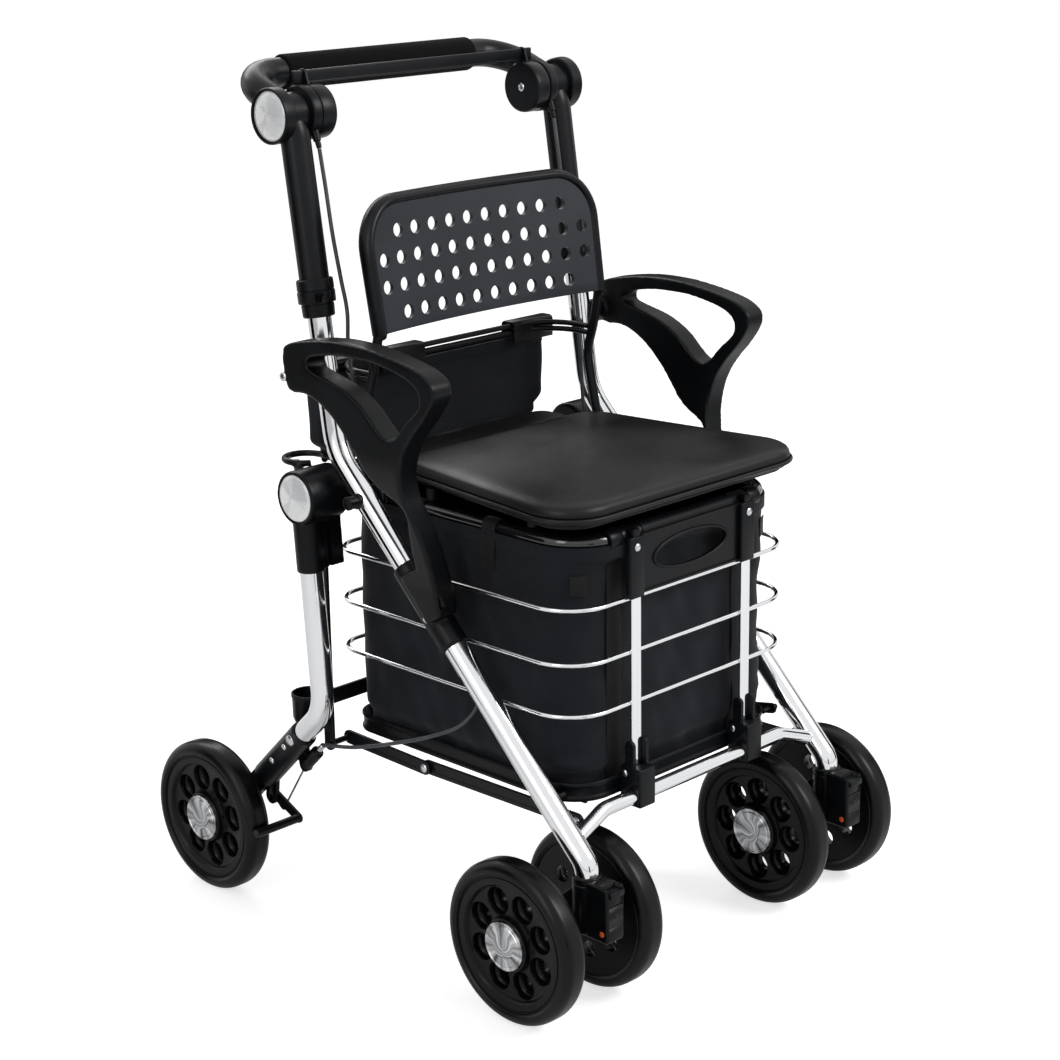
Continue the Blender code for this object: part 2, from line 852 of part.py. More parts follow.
def wheel_bracket(side):
    """The steel fork end that clasps the foot of a rear leg and carries the wheel's axle."""
    name = side_name(side) + "_wheel_bracket"
    axle = Vector((REAR_AXLE_Y, WHEEL_R))
    along = (axle - REAR_KNEE).normalized()
    start = REAR_KNEE + along * 0.050
    end = REAR_KNEE + along * 0.150
    x = side * REAR_LEG_X
    obj = rod(at(x, start), at(x, end), REAR_LEG_R + 0.0028, 20)
    arm = side_plate([capsule(end - along * 0.010, axle, 0.0125)], 0.010, side * (REAR_LEG_X + 0.004))
    face = REAR_TRACK_X - RIM_W / 2 - GAP
    stub = rod((side * (REAR_LEG_X + 0.001), *axle), (side * (REAR_TRACK_X + 0.008), *axle), AXLE_R, 12)
    collar = rod((side * (REAR_LEG_X + 0.001), *axle), (side * face, *axle), 0.0105, 14)
    ear = side_plate([capsule(BRAKE_PIVOT, end - along * 0.012, 0.009)], 0.006, side * BRAKE_EAR_X)
    barrel = rod(at(side * ADJUSTER_X, ADJUSTER_TOP), at(side * ADJUSTER_X, ADJUSTER_FOOT), 0.0075, 12)
    lug = side_plate([capsule(ADJUSTER_FOOT, start + along * 0.030, 0.0080)], 0.008, side * ADJUSTER_X)
    bolts = [
        rod(
            at(side * (REAR_LEG_X + REAR_LEG_R), REAR_KNEE + along * run),
            at(side * (REAR_LEG_X + REAR_LEG_R + 0.0045), REAR_KNEE + along * run),
            radius,
            10,
        )
        for run, radius in BRACKET_RIVETS
    ]
    join(obj, arm, collar, stub, ear, barrel, lug, *bolts)
    bore = rod(at(x, start - along * 0.02), at(x, REAR_KNEE + along * 0.136), REAR_LEG_R + GAP, 20)
    pin = rod(
        at(side * (BRAKE_EAR_X - 0.02), BRAKE_PIVOT),
        at(side * (BRAKE_EAR_X + 0.0035), BRAKE_PIVOT),
        0.0033,
        10,
    )
    cut(obj, bore, pin)
    return finish(obj, name, black_steel())


def brake_arm(side):
    """The lever on the bracket whose pad is pressed on the tyre, with the pull rod's end."""
    name = side_name(side) + "_brake_arm"
    plane = side * (BRAKE_EAR_X - 0.0060)
    pad = Vector((REAR_AXLE_Y, WHEEL_R)) + Vector((-math.cos(PAD_ANGLE), math.sin(PAD_ANGLE))) * (
        WHEEL_R + 0.0065
    )
    obj = side_plate([capsule(BRAKE_PIVOT, pad, 0.0060)], 0.0040, plane)
    tail = side_plate([capsule(BRAKE_PIVOT, BRAKE_PIVOT + Vector((-0.012, -0.010)), 0.0055)], 0.0040, plane)
    pin = rod(at(plane, BRAKE_PIVOT), at(side * (BRAKE_EAR_X + 0.0025), BRAKE_PIVOT), 0.0030, 10)
    shoe = rod(at(plane, pad), at(side * (REAR_TRACK_X + TYRE_W / 2 - 0.002), pad), 0.0050, 12)
    join(obj, tail, pin, shoe)
    return finish(obj, name, black_steel())


def rear_cross_bar():
    """The flat bar between the rear legs, with its two uprights inside the legs."""
    half = REAR_BAR_T / 2
    obj = box(
        (-UPRIGHT_X, REAR_BAR_Y - half, REAR_BAR_LOW), (UPRIGHT_X, REAR_BAR_Y + half, REAR_BAR_HIGH)
    )
    for side in (-1, 1):
        x = side * UPRIGHT_X
        down = rear_leg_down()
        top = FOLD + down * 0.046
        outline = capsule(top, RAIL_REAR + Vector((-0.008, 0.004)), 0.0075)
        upright = side_plate([outline], UPRIGHT_T, x)
        pin = rod((side * (RAIL_X + 0.0045), *RAIL_REAR), (side * UPRIGHT_X, *RAIL_REAR), 0.0035, 10)
        join(obj, upright, pin)
    arm_start = Vector((-UPRIGHT_X, REAR_BAR_Y, CUP_ARM_Z))
    cup = Vector((UMBRELLA_X, UMBRELLA_FOOT.x, CUP_ARM_Z))
    arm_end = cup + (arm_start - cup).normalized() * (CUP_R + GAP)
    join(obj, rod(arm_start, arm_end, 0.0045, 10))
    return finish(obj, "rear_cross_bar", black_steel())


def umbrella_cup():
    """The small cup by the left rear leg that an umbrella's tip stands in."""
    radius = CUP_R
    profile = [
        (0.0, 0.003),
        (radius - 0.0105, 0.003),
        (radius - 0.0040, 0.0200),
        (radius - 0.0028, 0.0480),
        (radius, 0.0480),
        (radius - 0.0010, 0.0200),
        (radius - 0.0080, 0.0),
        (0.0, 0.0),
    ]
    obj = turned("umbrella_cup", profile, 20)
    obj.location = (UMBRELLA_X, UMBRELLA_FOOT.x, UMBRELLA_FOOT.y)
    return finish(obj, "umbrella_cup", black_plastic())


def rail(side, name, start, end, x, pin_r):
    """One half of a side rail, a flat bar with round ends and a bore at its outer pivot."""
    obj = side_plate([capsule(start, end, RAIL_H / 2)], RAIL_T, side * x)
    bore = rod((side * (x - 0.01), *start), (side * (x + 0.01), *start), pin_r + GAP, 12)
    return finish(cut(obj, bore), f"{side_name(side)}_rail_{name}", black_steel())


def rails(side):
    """The front half and the rear half, side by side, with the middle rivet on the rear half."""
    along = (RAIL_MID - RAIL_FRONT).normalized()
    rail(side, "front", RAIL_FRONT, RAIL_MID - along * 0.0005, RAIL_X, RAIL_PIN_R)
    rail(side, "rear", RAIL_REAR, RAIL_MID, RAIL_X + RAIL_T + GAP, RAIL_PIN_R)


def lens_disc(name, centre, outward, radius):
    """A round reflector: a clear disc with a slightly domed face."""
    profile = [
        (0.0, LENS_T),
        (radius * 0.55, LENS_T - 0.0005),
        (radius - 0.0015, LENS_T - 0.0020),
        (radius, LENS_T - 0.0035),
        (radius, 0.0),
        (0.0, 0.0),
    ]
    return finish(on_axle(turned(name, profile, 20), centre, outward), name, lens())


def handle_route():
    """The push handle's centre line, from its left foot round the grip to its right foot."""
    start = leg_point(HANDLE_START_RUN)
    shoulder = leg_point(SHOULDER_RUN)
    corners = [at(-LEG_X, start), at(-LEG_X, shoulder), at(-LEG_X, HANDLE_BACK)]
    corners += [at(LEG_X, HANDLE_BACK), at(LEG_X, shoulder), at(LEG_X, start)]
    return rounded_route(corners, [HANDLE_BEND_R] * 4)


def push_handle():
    obj = as_mesh(curve_tube("push_handle", handle_route(), HANDLE_R, 3))
    for side in (-1, 1):
        x = side * LEG_X
        foot = at(x, leg_point(HANDLE_START_RUN - 0.02))
        top = at(x, leg_point(0.315))
        bore = rod(foot, top, HANDLE_R - HANDLE_WALL, 20)
        cut(obj, bore)
    return finish(obj, "push_handle", black_steel())


def handle_grip():
    """The soft sleeve on the cross bar of the handle."""
    obj = rod((-GRIP_HALF, *HANDLE_BACK), (GRIP_HALF, *HANDLE_BACK), GRIP_R, 24)
    cut(obj, rod((-GRIP_HALF - 0.01, *HANDLE_BACK), (GRIP_HALF + 0.01, *HANDLE_BACK), HANDLE_R + GAP, 20))
    return finish(obj, "handle_grip", foam())


def handle_collar(side):
    """The stepped ring that guides the handle on the side tube and locks its height."""
    name = side_name(side) + "_handle_collar"
    bore = LEG_R + GAP
    profile = [
        (bore, COLLAR_H),
        (COLLAR_R - 0.0020, COLLAR_H),
        (COLLAR_R - 0.0020, COLLAR_H - 0.012),
        (COLLAR_R, COLLAR_H - 0.014),
        (COLLAR_R, COLLAR_H - 0.026),
        (COLLAR_R - 0.0035, 0.0),
        (bore, 0.0),
    ]
    obj = turned(name, profile, 20)
    obj.location = at(side * LEG_X, leg_point(HANDLE_START_RUN - GAP - COLLAR_H))
    obj.rotation_euler = (-LEAN, 0, 0)
    return finish(obj, name, black_plastic())


def brake_housing(side):
    """The round housing on the handle's shoulder, with the cable's gland below it."""
    name = side_name(side) + "_brake_housing"
    obj = rod((side * LEVER_SPLIT, *LEVER_AXIS), (side * LEVER_OUT, *LEVER_AXIS), LEVER_R, 24)
    gland = rod((side * GLAND.x, GLAND.y, GLAND.z), (side * GLAND.x, GLAND.y, 0.8685), 0.0030, 10)
    join(obj, gland)
    around = as_mesh(curve_tube("around", handle_route(), HANDLE_R + GAP, 3))
    pocket = rod(
        (side * (LEVER_OUT - 0.003), *LEVER_AXIS),
        (side * (LEVER_OUT + 0.01), *LEVER_AXIS),
        LEVER_R - 0.0025,
        24,
    )
    pin = rod(
        (side * (LEVER_SPLIT - 0.01), *LEVER_AXIS), (side * (LEVER_SPLIT + 0.0012), *LEVER_AXIS), 0.0045, 12
    )
    cut(obj, around, pocket, pin)
    return finish(obj, name, black_plastic())


def brake_bar():
    """The flat bar that is squeezed towards the grip, with a round hub at each end."""
    half_h = BRAKE_BAR_H / 2
    half_t = BRAKE_BAR_T / 2
    obj = box(
        (-BRAKE_BAR_END, BRAKE_BAR.x - half_t, BRAKE_BAR.y - half_h),
        (BRAKE_BAR_END, BRAKE_BAR.x + half_t, BRAKE_BAR.y + half_h),
        0.002,
    )
    for side in (-1, 1):
        arm = side_plate([capsule(LEVER_AXIS, BRAKE_BAR, 0.007)], 0.010, side * (LEVER_SPLIT - 0.008))
        join(obj, arm)
        inner = (side * LEVER_IN, *LEVER_AXIS)
        hub = rod(inner, (side * (LEVER_SPLIT - GAP), *LEVER_AXIS), LEVER_R - 0.001, 24)
        head = (side * (LEVER_IN - 0.002), *LEVER_AXIS)
        root = (side * (LEVER_IN + 0.002), *LEVER_AXIS)
        screw = rod(head, root, 0.0045, 12)
        join(obj, hub, screw)
    return finish(obj, "brake_bar", black_steel())


def brake_cable(side):
    """The cable from the handle to the rear brake, down the side tube and along the front leg."""
    name = side_name(side) + "_brake_cable"
    places = [Vector((side * x, y, z)) for x, y, z in CABLE_PLACES]
    obj = as_mesh(curve_tube(name, smooth_route(places, 2), CABLE_R, 2))
    return finish(obj, name, black_plastic())


def smooth_route(places, steps):
    """Points read from a smooth curve through the route's own points."""
    route = []
    padded = [places[0] * 2 - places[1]] + places + [places[-1] * 2 - places[-2]]
    for p0, p1, p2, p3 in zip(padded, padded[1:], padded[2:], padded[3:]):
        for index in range(steps):
            t = index / steps
            route.append(
                0.5
                * (
                    2 * p1
                    + (p2 - p0) * t
                    + (2 * p0 - 5 * p1 + 4 * p2 - p3) * t * t
                    + (3 * p1 - p0 - 3 * p2 + p3) * t * t * t
                )
            )
    route.append(places[-1])
    return route


def arm_shift(z):
    """How far out an armrest stands at a height: it comes in to meet the front leg lower down."""
    low, high = 0.400, 0.560
    share = min(1.0, max(0.0, (z - low) / (high - low)))
    share = share * share * (3 - 2 * share)
    return ARM_FOOT_X + (ARM_X - ARM_FOOT_X) * share


def armrest(side):
    """A closed loop for the hand with an arched strut down to a sleeve on the front leg."""
    name = side_name(side) + "_armrest"
    outer = rounded_outline([corner for corner, _ in ARM_OUTLINE], [radius for _, radius in ARM_OUTLINE])
    hole = rounded_outline([corner for corner, _ in ARM_HOLE], [radius for _, radius in ARM_HOLE])
    obj = side_plate([outer, hole], ARM_T, 0.0)
    flat = obj.matrix_world.copy()
    for vertex in obj.data.vertices:
        place = flat @ vertex.co
        vertex.co = (side * arm_shift(place.z) + place.x, place.y, place.z)
    obj.matrix_world = Matrix.Identity(4)
    top = at(side * LEG_X, (leg_y(SLEEVE_TOP_Z), SLEEVE_TOP_Z))
    foot = at(side * LEG_X, (leg_y(SLEEVE_FOOT_Z), SLEEVE_FOOT_Z))
    sleeve = rod(top, foot, LEG_R + SLEEVE_WALL, 20)
    bolt_at = leg_point(ARM_BOLT_RUN)
    boss = rod(
        at(side * (LEG_X + LEG_R + GAP), bolt_at),
        at(side * (ARM_X + ARM_T / 2 + 0.0025), bolt_at),
        0.0050,
        12,
    )
    pad = rod(at(side * (LEG_X + LEG_R + GAP), bolt_at), at(side * ARM_X, bolt_at), 0.0125, 16)
    join(obj, sleeve, boss, pad)
    beyond = (foot - top).normalized() * 0.05
    cut(obj, rod(top - beyond, foot + beyond, LEG_R + GAP, 20))
    return finish(obj, name, black_plastic())


def back_loop():
    """The tube round the edge of the backrest, as a closed path."""
    half = BACK_HALF_W - BACK_TUBE_R
    low = BACK_BOTTOM + BACK_TUBE_R
    high = BACK_TOP - BACK_TUBE_R
    outline = rounded_outline(
        [(-half, low), (half, low), (half, high), (-half, high)], [BACK_CORNER] * 4, math.radians(30)
    )
    filled = []
    for (x0, z0), (x1, z1) in zip(outline, outline[1:] + outline[:1]):
        steps = max(1, round(abs(x1 - x0) / 0.05))
        for index in range(steps):
            x = x0 + (x1 - x0) * index / steps
            z = z0 + (z1 - z0) * index / steps
            filled.append(Vector((x, back_y(x, z), z)))
    return filled


def backrest_frame():
    """The edge tube, its two posts and the rail behind them that carries the pouch."""
    loop = curve_tube("backrest_frame", back_loop(), BACK_TUBE_R, 2)
    loop.data.splines[0].use_cyclic_u = True
    obj = as_mesh(loop)
    for side in (-1, 1):
        top_z = BACK_BOTTOM + BACK_TUBE_R
        top = (side * BACK_POST_X, back_y(BACK_POST_X, top_z), top_z)
        foot = (side * BACK_POST_X, BACK_POST_FOOT_Y, SEAT_TUBE_Z - SEAT_TUBE_R)
        join(obj, rod(top, foot, BACK_POST_R, 14))
    rail_x = BACK_POST_X - 0.002
    rail_post_y = back_y(BACK_POST_X, POUCH_RAIL.y) + 0.003
    route = rounded_route(
        [
            (-rail_x, rail_post_y, POUCH_RAIL.y),
            (-rail_x, *POUCH_RAIL),
            (rail_x, *POUCH_RAIL),
            (rail_x, rail_post_y, POUCH_RAIL.y),
        ],
        [0.025, 0.025],
    )
    join(obj, as_mesh(curve_tube("pouch_rail", route, POUCH_RAIL_R, 2)))
    return finish(obj, "backrest_frame", black_steel())


def backrest_panel():
    """The curved plate inside the edge tube, with its grid of round holes."""
    half = BACK_HALF_W - 2 * BACK_TUBE_R - GAP
    low = BACK_BOTTOM + 2 * BACK_TUBE_R + GAP
    high = BACK_TOP - 2 * BACK_TUBE_R - GAP
    corner = BACK_CORNER - BACK_TUBE_R
    outline = rounded_outline([(-half, low), (half, low), (half, high), (-half, high)], [corner] * 4)
    outlines = [split_long(outline, 0.03)]
    for rise, count in HOLE_ROWS:
        height = BACK_MID_Z + rise
        for index in range(count):
            x = (index - (count - 1) / 2) * HOLE_PITCH
            outlines.append(circle((x, height), HOLE_R, 8))
    obj = as_mesh(flat_curve("backrest_panel", outlines, BACK_T, 0.0))
    for vertex in obj.data.vertices:
        x, z, depth = vertex.co
        vertex.co = (x, back_y(x, z) - depth, z)
    return finish(obj, "backrest_panel", black_plastic())


def split_long(outline, most):
    """An outline with extra points on its long straight stretches, so that it can be bent."""
    made = []
    for first, second in zip(outline, outline[1:] + outline[:1]):
        first = Vector(first)
        second = Vector(second)
        steps = max(1, math.ceil((second - first).length / most))
        made += [tuple(first.lerp(second, index / steps)) for index in range(steps)]
    return made


def seat_outline(inset=0.0):
    """The seat's plan, wider at its front, with round corners."""
    front = SEAT_FRONT + inset
    back = SEAT_BACK - inset
    wide = SEAT_HALF_W - inset
    narrow = SEAT_HALF_BACK - inset
    return rounded_outline(
        [(-wide, front), (wide, front), (narrow, back), (-narrow, back)],
        [max(0.004, radius - inset) for radius in (0.050, 0.050, 0.035, 0.035)],
        math.radians(15),
    )


def seat_cushion():
    """The padded seat: a crowned top that rolls over to drawn-in sides."""
    outline = split_long(seat_outline(), 0.045)
    middle = Vector((0.0, (SEAT_FRONT + SEAT_BACK) / 2))
    rings = [
        (1.0 - 0.035, SEAT_BASE + GAP),
        (1.0 - 0.008, SEAT_BASE + 0.004),
        (1.0, SEAT_BASE + 0.009),
        (1.0 - 0.004, SEAT_BASE + 0.014),
        (1.0 - 0.030, SEAT_TOP - 0.0030),
        (1.0 - 0.110, SEAT_TOP - 0.0015),
        (0.55, SEAT_TOP + 0.0010),
        (0.25, SEAT_TOP + 0.0020),
    ]
    shape = bmesh.new()
    layers = []
    for share, height in rings:
        layers.append(
            [
                shape.verts.new((x * share, middle.y + (y - middle.y) * share, height))
                for x, y in outline
            ]
        )
    count = len(outline)
    shape.faces.new(list(reversed(layers[0])))
    for lower, upper in zip(layers, layers[1:]):
        for index in range(count):
            following = (index + 1) % count
            shape.faces.new((lower[index], lower[following], upper[following], upper[index]))
    shape.faces.new(layers[-1])
    return finish(mesh_object("seat_cushion", shape), "seat_cushion", leather())


def seat_board():
    """The board under the cushion, on four feet that stand on the seat tube."""
    obj = as_mesh(flat_curve("seat_board", [seat_outline(0.012)], SEAT_BOARD_T))
    obj.location = (0, 0, SEAT_BASE - SEAT_BOARD_T / 2)
    for side in (-1, 1):
        for y in SEAT_FEET_Y:
            x = side * (SEAT_TUBE_X - 0.006)
            foot_z = SEAT_TUBE_Z + SEAT_TUBE_R + GAP
            join(obj, rod((x, y, foot_z), (x, y, SEAT_BASE - SEAT_BOARD_T / 2), SEAT_FOOT_R, 12))
    return finish(obj, "seat_board", black_plastic())


def seat_rear_pad():
    """The fixed pad behind the seat's seam, between the backrest posts."""
    obj = box(
        (-REAR_PAD_HALF_W, SEAT_BACK + 0.006, FOLD.y + FOLD_ROD_R + GAP),
        (REAR_PAD_HALF_W, POUCH_FRONT - 0.006, SEAT_TOP - 0.010),
        0.006,
    )
    return finish(obj, "seat_rear_pad", leather())


def seat_frame():
    """The bent tube under the seat, which the bag and the basket hang on."""
    back = FOLD.x - FOLD_ROD_R - GAP
    route = rounded_route(
        [
            (-SEAT_TUBE_X, back, SEAT_TUBE_Z),
            (-SEAT_TUBE_X, SEAT_TUBE_FRONT, SEAT_TUBE_Z),
            (SEAT_TUBE_X, SEAT_TUBE_FRONT, SEAT_TUBE_Z),
            (SEAT_TUBE_X, back, SEAT_TUBE_Z),
        ],
        [0.050, 0.050],
    )
    return finish(as_mesh(curve_tube("seat_frame", route, SEAT_TUBE_R, 2)), "seat_frame", black_steel())


def wire_hoop(height):
    half = WIRE_X
    outline = rounded_outline(
        [(-half, WIRE_Y), (half, WIRE_Y), (half, WIRE_BACK), (-half, WIRE_BACK)],
        [WIRE_CORNER_R, WIRE_CORNER_R, 0.030, 0.030],
        math.radians(30),
    )
    hoop = curve_tube("hoop", [Vector((x, y, height)) for x, y in outline], WIRE_R, 1)
    hoop.data.splines[0].use_cyclic_u = True
    return as_mesh(hoop)


def basket_wires():
    """Three hoops round the bag, welded to two flat bars in front and two wires behind."""
    obj = wire_hoop(WIRE_HEIGHTS[0])
    for height in WIRE_HEIGHTS[1:]:
        join(obj, wire_hoop(height))
    for side in (-1, 1):
        x = side * BAR_X
        bar = box(
            (x - BAR_W / 2, BAR_Y - BAR_T / 2, BAR_BOTTOM), (x + BAR_W / 2, BAR_Y + BAR_T / 2, BAR_TOP)
        )
        stay_y = WIRE_BACK + WIRE_R
        stay = rod((x, stay_y, WIRE_HEIGHTS[2] - 0.004), (x, stay_y, WIRE_HEIGHTS[0] + 0.004), WIRE_R, 8)
        join(obj, bar, stay)
    return finish(obj, "basket_wires", chrome())


def basket_handle_panel():
    """The moulded panel behind the bars, with an oval hand hole and a lip hooked over the seat tube."""
    front = BAR_Y + BAR_T / 2 + GAP
    plate_t = 0.0040
    outline = rounded_outline(
        [
            (-PANEL_HALF_W, PANEL_BOTTOM),
            (PANEL_HALF_W, PANEL_BOTTOM),
            (PANEL_HALF_W, PANEL_TOP),
            (-PANEL_HALF_W, PANEL_TOP),
        ],
        [0.008, 0.008, 0.006, 0.006],
    )
    middle = PANEL_BOTTOM + 0.030
    hole = [
        (0.056 * math.cos(2 * math.pi * index / 24), middle + 0.0165 * math.sin(2 * math.pi * index / 24))
        for index in range(24)
    ]
    obj = flat_curve("basket_handle_panel", [outline, hole], plate_t)
    obj.matrix_world = Matrix(((1, 0, 0, 0), (0, 0, -1, front + plate_t / 2), (0, 1, 0, 0), (0, 0, 0, 1)))
    obj = as_mesh(obj)
    top = SEAT_TUBE_Z + SEAT_TUBE_R + GAP
    lip = box((-0.070, front, PANEL_TOP - 0.004), (0.070, SEAT_TUBE_FRONT + 0.002, top + 0.0025))
    tube_left = (-0.1, SEAT_TUBE_FRONT, SEAT_TUBE_Z)
    tube_right = (0.1, SEAT_TUBE_FRONT, SEAT_TUBE_Z)
    notch = rod(tube_left, tube_right, SEAT_TUBE_R + GAP, 20)
    under = box((-0.1, SEAT_TUBE_FRONT, SEAT_TUBE_Z - 0.02), (0.1, SEAT_TUBE_FRONT + 0.01, top))
    cut(join(obj, lip), notch, under)
    return finish(obj, "basket_handle_panel", black_plastic())


def rounded_block(half_w, front, back, low, high, corner):
    """A block with a rounded rectangular plan."""
    outline = rounded_outline(
        [(-half_w, front), (half_w, front), (half_w, back), (-half_w, back)],
        [corner, corner, corner * 0.6, corner * 0.6],
    )
    obj = flat_curve("block", [outline], high - low)
    obj.location = (0, 0, (low + high) / 2)
    return as_mesh(obj)


def bag_body(gap, low, top):
    """The bag's outline this far in from its outside, down to a foot that fits inside the tray's rim."""
    middle = TRAY_TOP + 2 * GAP + gap
    corner = BAG_CORNER - gap
    body = rounded_block(BAG_HALF_W - gap, BAG_FRONT + gap, BAG_BACK - gap, middle, top, corner)
    foot_half = TRAY_HALF_W - TRAY_WALL - 2 * GAP - gap
    front = BAG_FRONT + BAG_FOOT_IN + gap
    back = BAG_BACK - BAG_FOOT_IN - gap
    return join(body, rounded_block(foot_half, front, back, low + gap, middle + 0.010, corner))


def shopping_bag():
    """The cloth bag in the basket, open at its top under the seat."""
    low = TRAY_BOTTOM + TRAY_FLOOR + GAP
    obj = bag_body(0.0, low, BAG_TOP)
    return finish(cut(obj, bag_body(BAG_WALL, low, BAG_TOP + 0.02)), "shopping_bag", cloth())


def rear_pouch():
    """The flat pouch behind the seat, open at its top, with a tab round the rail above it."""
    obj = box((-POUCH_HALF_W, POUCH_FRONT, POUCH_BOTTOM), (POUCH_HALF_W, POUCH_BACK, POUCH_TOP), 0.010)
    wall = POUCH_WALL
    inside = box(
        (-POUCH_HALF_W + wall, POUCH_FRONT + wall, POUCH_BOTTOM + wall),
        (POUCH_HALF_W - wall, POUCH_BACK - wall, POUCH_TOP + 0.02),
        0.006,
    )
    cut(obj, inside)
    for side in (-1, 1):
        x = side * 0.120
        low = (x - 0.024, POUCH_FRONT - 0.0020, POUCH_TOP - 0.020)
        high = (x + 0.024, POUCH_RAIL.x + 0.0065, POUCH_RAIL.y + 0.0065)
        tab = box(low, high)
        join(obj, tab)
    cut(obj, rod((-0.2, *POUCH_RAIL), (0.2, *POUCH_RAIL), POUCH_RAIL_R + GAP, 16))
    return finish(obj, "rear_pouch", cloth())


def base_tray():
    """The rim and open floor that carry the bag, with two clamps on the front cross tube."""
    obj = rounded_block(TRAY_HALF_W, TRAY_FRONT, TRAY_BACK, TRAY_BOTTOM, TRAY_TOP, BAG_CORNER + 0.003)
    inside = rounded_block(
        TRAY_HALF_W - TRAY_WALL,
        TRAY_FRONT + TRAY_WALL,
        TRAY_BACK - TRAY_WALL,
        TRAY_BOTTOM + TRAY_FLOOR,
        TRAY_TOP + 0.01,
        BAG_CORNER,
    )
    cut(obj, inside)
    length = TRAY_BACK - TRAY_FRONT
    for column in (-1, 1):
        for row in range(3):
            y = TRAY_FRONT + length * (row + 0.5) / 3
            low = (column * 0.080 - 0.045, y - 0.040, TRAY_BOTTOM - 0.01)
            high = (column * 0.080 + 0.045, y + 0.040, TRAY_BOTTOM + 0.01)
            cut(obj, box(low, high))
    for side in (-1, 1):
        join(obj, *tray_clamp(side))
    cut(obj, rod((-0.14, *CROSS_TUBE), (0.14, *CROSS_TUBE), CROSS_TUBE_R + GAP, 20))
    return finish(obj, "base_tray", black_plastic())


def tray_clamp(side):
    """A clamp round the cross tube whose two fingers hold the foot of a basket bar."""
    x = side * BAR_X
    front = CROSS_TUBE.x - CROSS_TUBE_R - 0.003
    body = box((x - 0.0120, front, 0.1905), (x + 0.0120, TRAY_FRONT + 0.001, BAR_BOTTOM - GAP), 0.0015)
    fingers = [
        box(
            (min(near, far), BAR_Y - 0.005, BAR_BOTTOM - 0.006),
            (max(near, far), BAR_Y + 0.004, 0.2600),
        )
        for near, far in (
            (x - BAR_W / 2 - GAP, x - 0.0120),
            (x + BAR_W / 2 + GAP, x + 0.0120),
        )
    ]
    return [body, *fingers]


def build():
    """Builds every piece at its place."""
    clear_scene()
    front_cross_tube()
    fold_axle()
    for side in (-1, 1):
        front_leg(side)
        caster_fork(side)
        caster_lock(side)
        caster_wheels(side)
        rear_leg(side)
        leg_housing(side)
        wheel_bracket(side)
        brake_arm(side)
        rails(side)
        wheel(side_name(side) + "_rear", (side * REAR_TRACK_X, REAR_AXLE_Y, WHEEL_R), side)
        handle_collar(side)
        brake_housing(side)
        brake_cable(side)
        armrest(side)
        handle_lens_x = side * (LEVER_OUT - 0.003 + GAP)
        lens_disc(side_name(side) + "_handle_reflector", (handle_lens_x, *LEVER_AXIS), side, LEVER_R - 0.0035)
        leg_lens_x = side * (BOSS_FACE - 0.003 + GAP)
        lens_disc(side_name(side) + "_leg_reflector", (leg_lens_x, *FOLD), side, BOSS_R - 0.0040)
    rear_cross_bar()
    umbrella_cup()
    push_handle()
    handle_grip()
    brake_bar()
    backrest_frame()
    backrest_panel()
    seat_cushion()
    seat_board()
    seat_rear_pad()
    seat_frame()
    basket_wires()
    basket_handle_panel()
    shopping_bag()
    rear_pouch()
    base_tray()


build()
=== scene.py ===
# %% [markdown]
# # A shopping rollator, dressed piece by piece
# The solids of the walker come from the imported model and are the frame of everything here.
# Each cell builds one piece of the real object over its solid, or gives a solid a finish.

import math

import bpy
from mathutils import Matrix, Vector, noise


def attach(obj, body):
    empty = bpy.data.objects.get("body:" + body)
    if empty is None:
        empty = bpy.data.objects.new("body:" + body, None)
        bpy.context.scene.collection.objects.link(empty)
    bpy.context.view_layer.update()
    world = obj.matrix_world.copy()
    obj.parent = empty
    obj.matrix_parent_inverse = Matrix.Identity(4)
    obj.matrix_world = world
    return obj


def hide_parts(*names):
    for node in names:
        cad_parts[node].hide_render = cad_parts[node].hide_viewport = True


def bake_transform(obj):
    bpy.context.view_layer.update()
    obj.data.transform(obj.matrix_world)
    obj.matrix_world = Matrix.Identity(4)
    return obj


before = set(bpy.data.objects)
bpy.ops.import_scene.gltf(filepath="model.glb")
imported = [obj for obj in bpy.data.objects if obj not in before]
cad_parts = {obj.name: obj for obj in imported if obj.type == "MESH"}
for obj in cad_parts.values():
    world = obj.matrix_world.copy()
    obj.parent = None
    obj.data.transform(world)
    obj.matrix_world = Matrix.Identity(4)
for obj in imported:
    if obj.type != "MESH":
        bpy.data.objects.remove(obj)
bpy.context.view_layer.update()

# %% [markdown]
# ## Selecting
# An operator works on whatever is selected. So each step starts with nothing selected,
# and faces or edges are picked in code, by where they are.

# %% Selecting helpers
def nothing_selected():
    if bpy.context.object and bpy.context.object.mode != "OBJECT":
        bpy.ops.object.mode_set(mode="OBJECT")
    bpy.ops.object.select_all(action="DESELECT")


def work_on(*pieces):
    nothing_selected()
    for piece in pieces:
        piece.select_set(True)
    bpy.context.view_layer.objects.active = pieces[0]


def shade(piece, angle):
    """Shades smooth wherever two faces meet at less than so many degrees."""
    work_on(piece)
    bpy.ops.object.shade_smooth_by_angle(angle=math.radians(angle))
    return piece


def settle(piece):
    """Puts the origin at the world's, so that the place of the piece is in its mesh."""
    work_on(piece)
    bpy.ops.object.transform_apply(location=True, rotation=True, scale=True)
    return piece


def clean(piece, doubles=0.00001, angle=35):
    """Merges doubles, turns the faces outwards and shades smooth up to an angle."""
    work_on(piece)
    bpy.ops.object.mode_set(mode="EDIT")
    bpy.ops.mesh.select_all(action="SELECT")
    bpy.ops.mesh.remove_doubles(threshold=doubles)
    bpy.ops.mesh.normals_make_consistent(inside=False)
    bpy.ops.object.mode_set(mode="OBJECT")
    return shade(piece, angle)


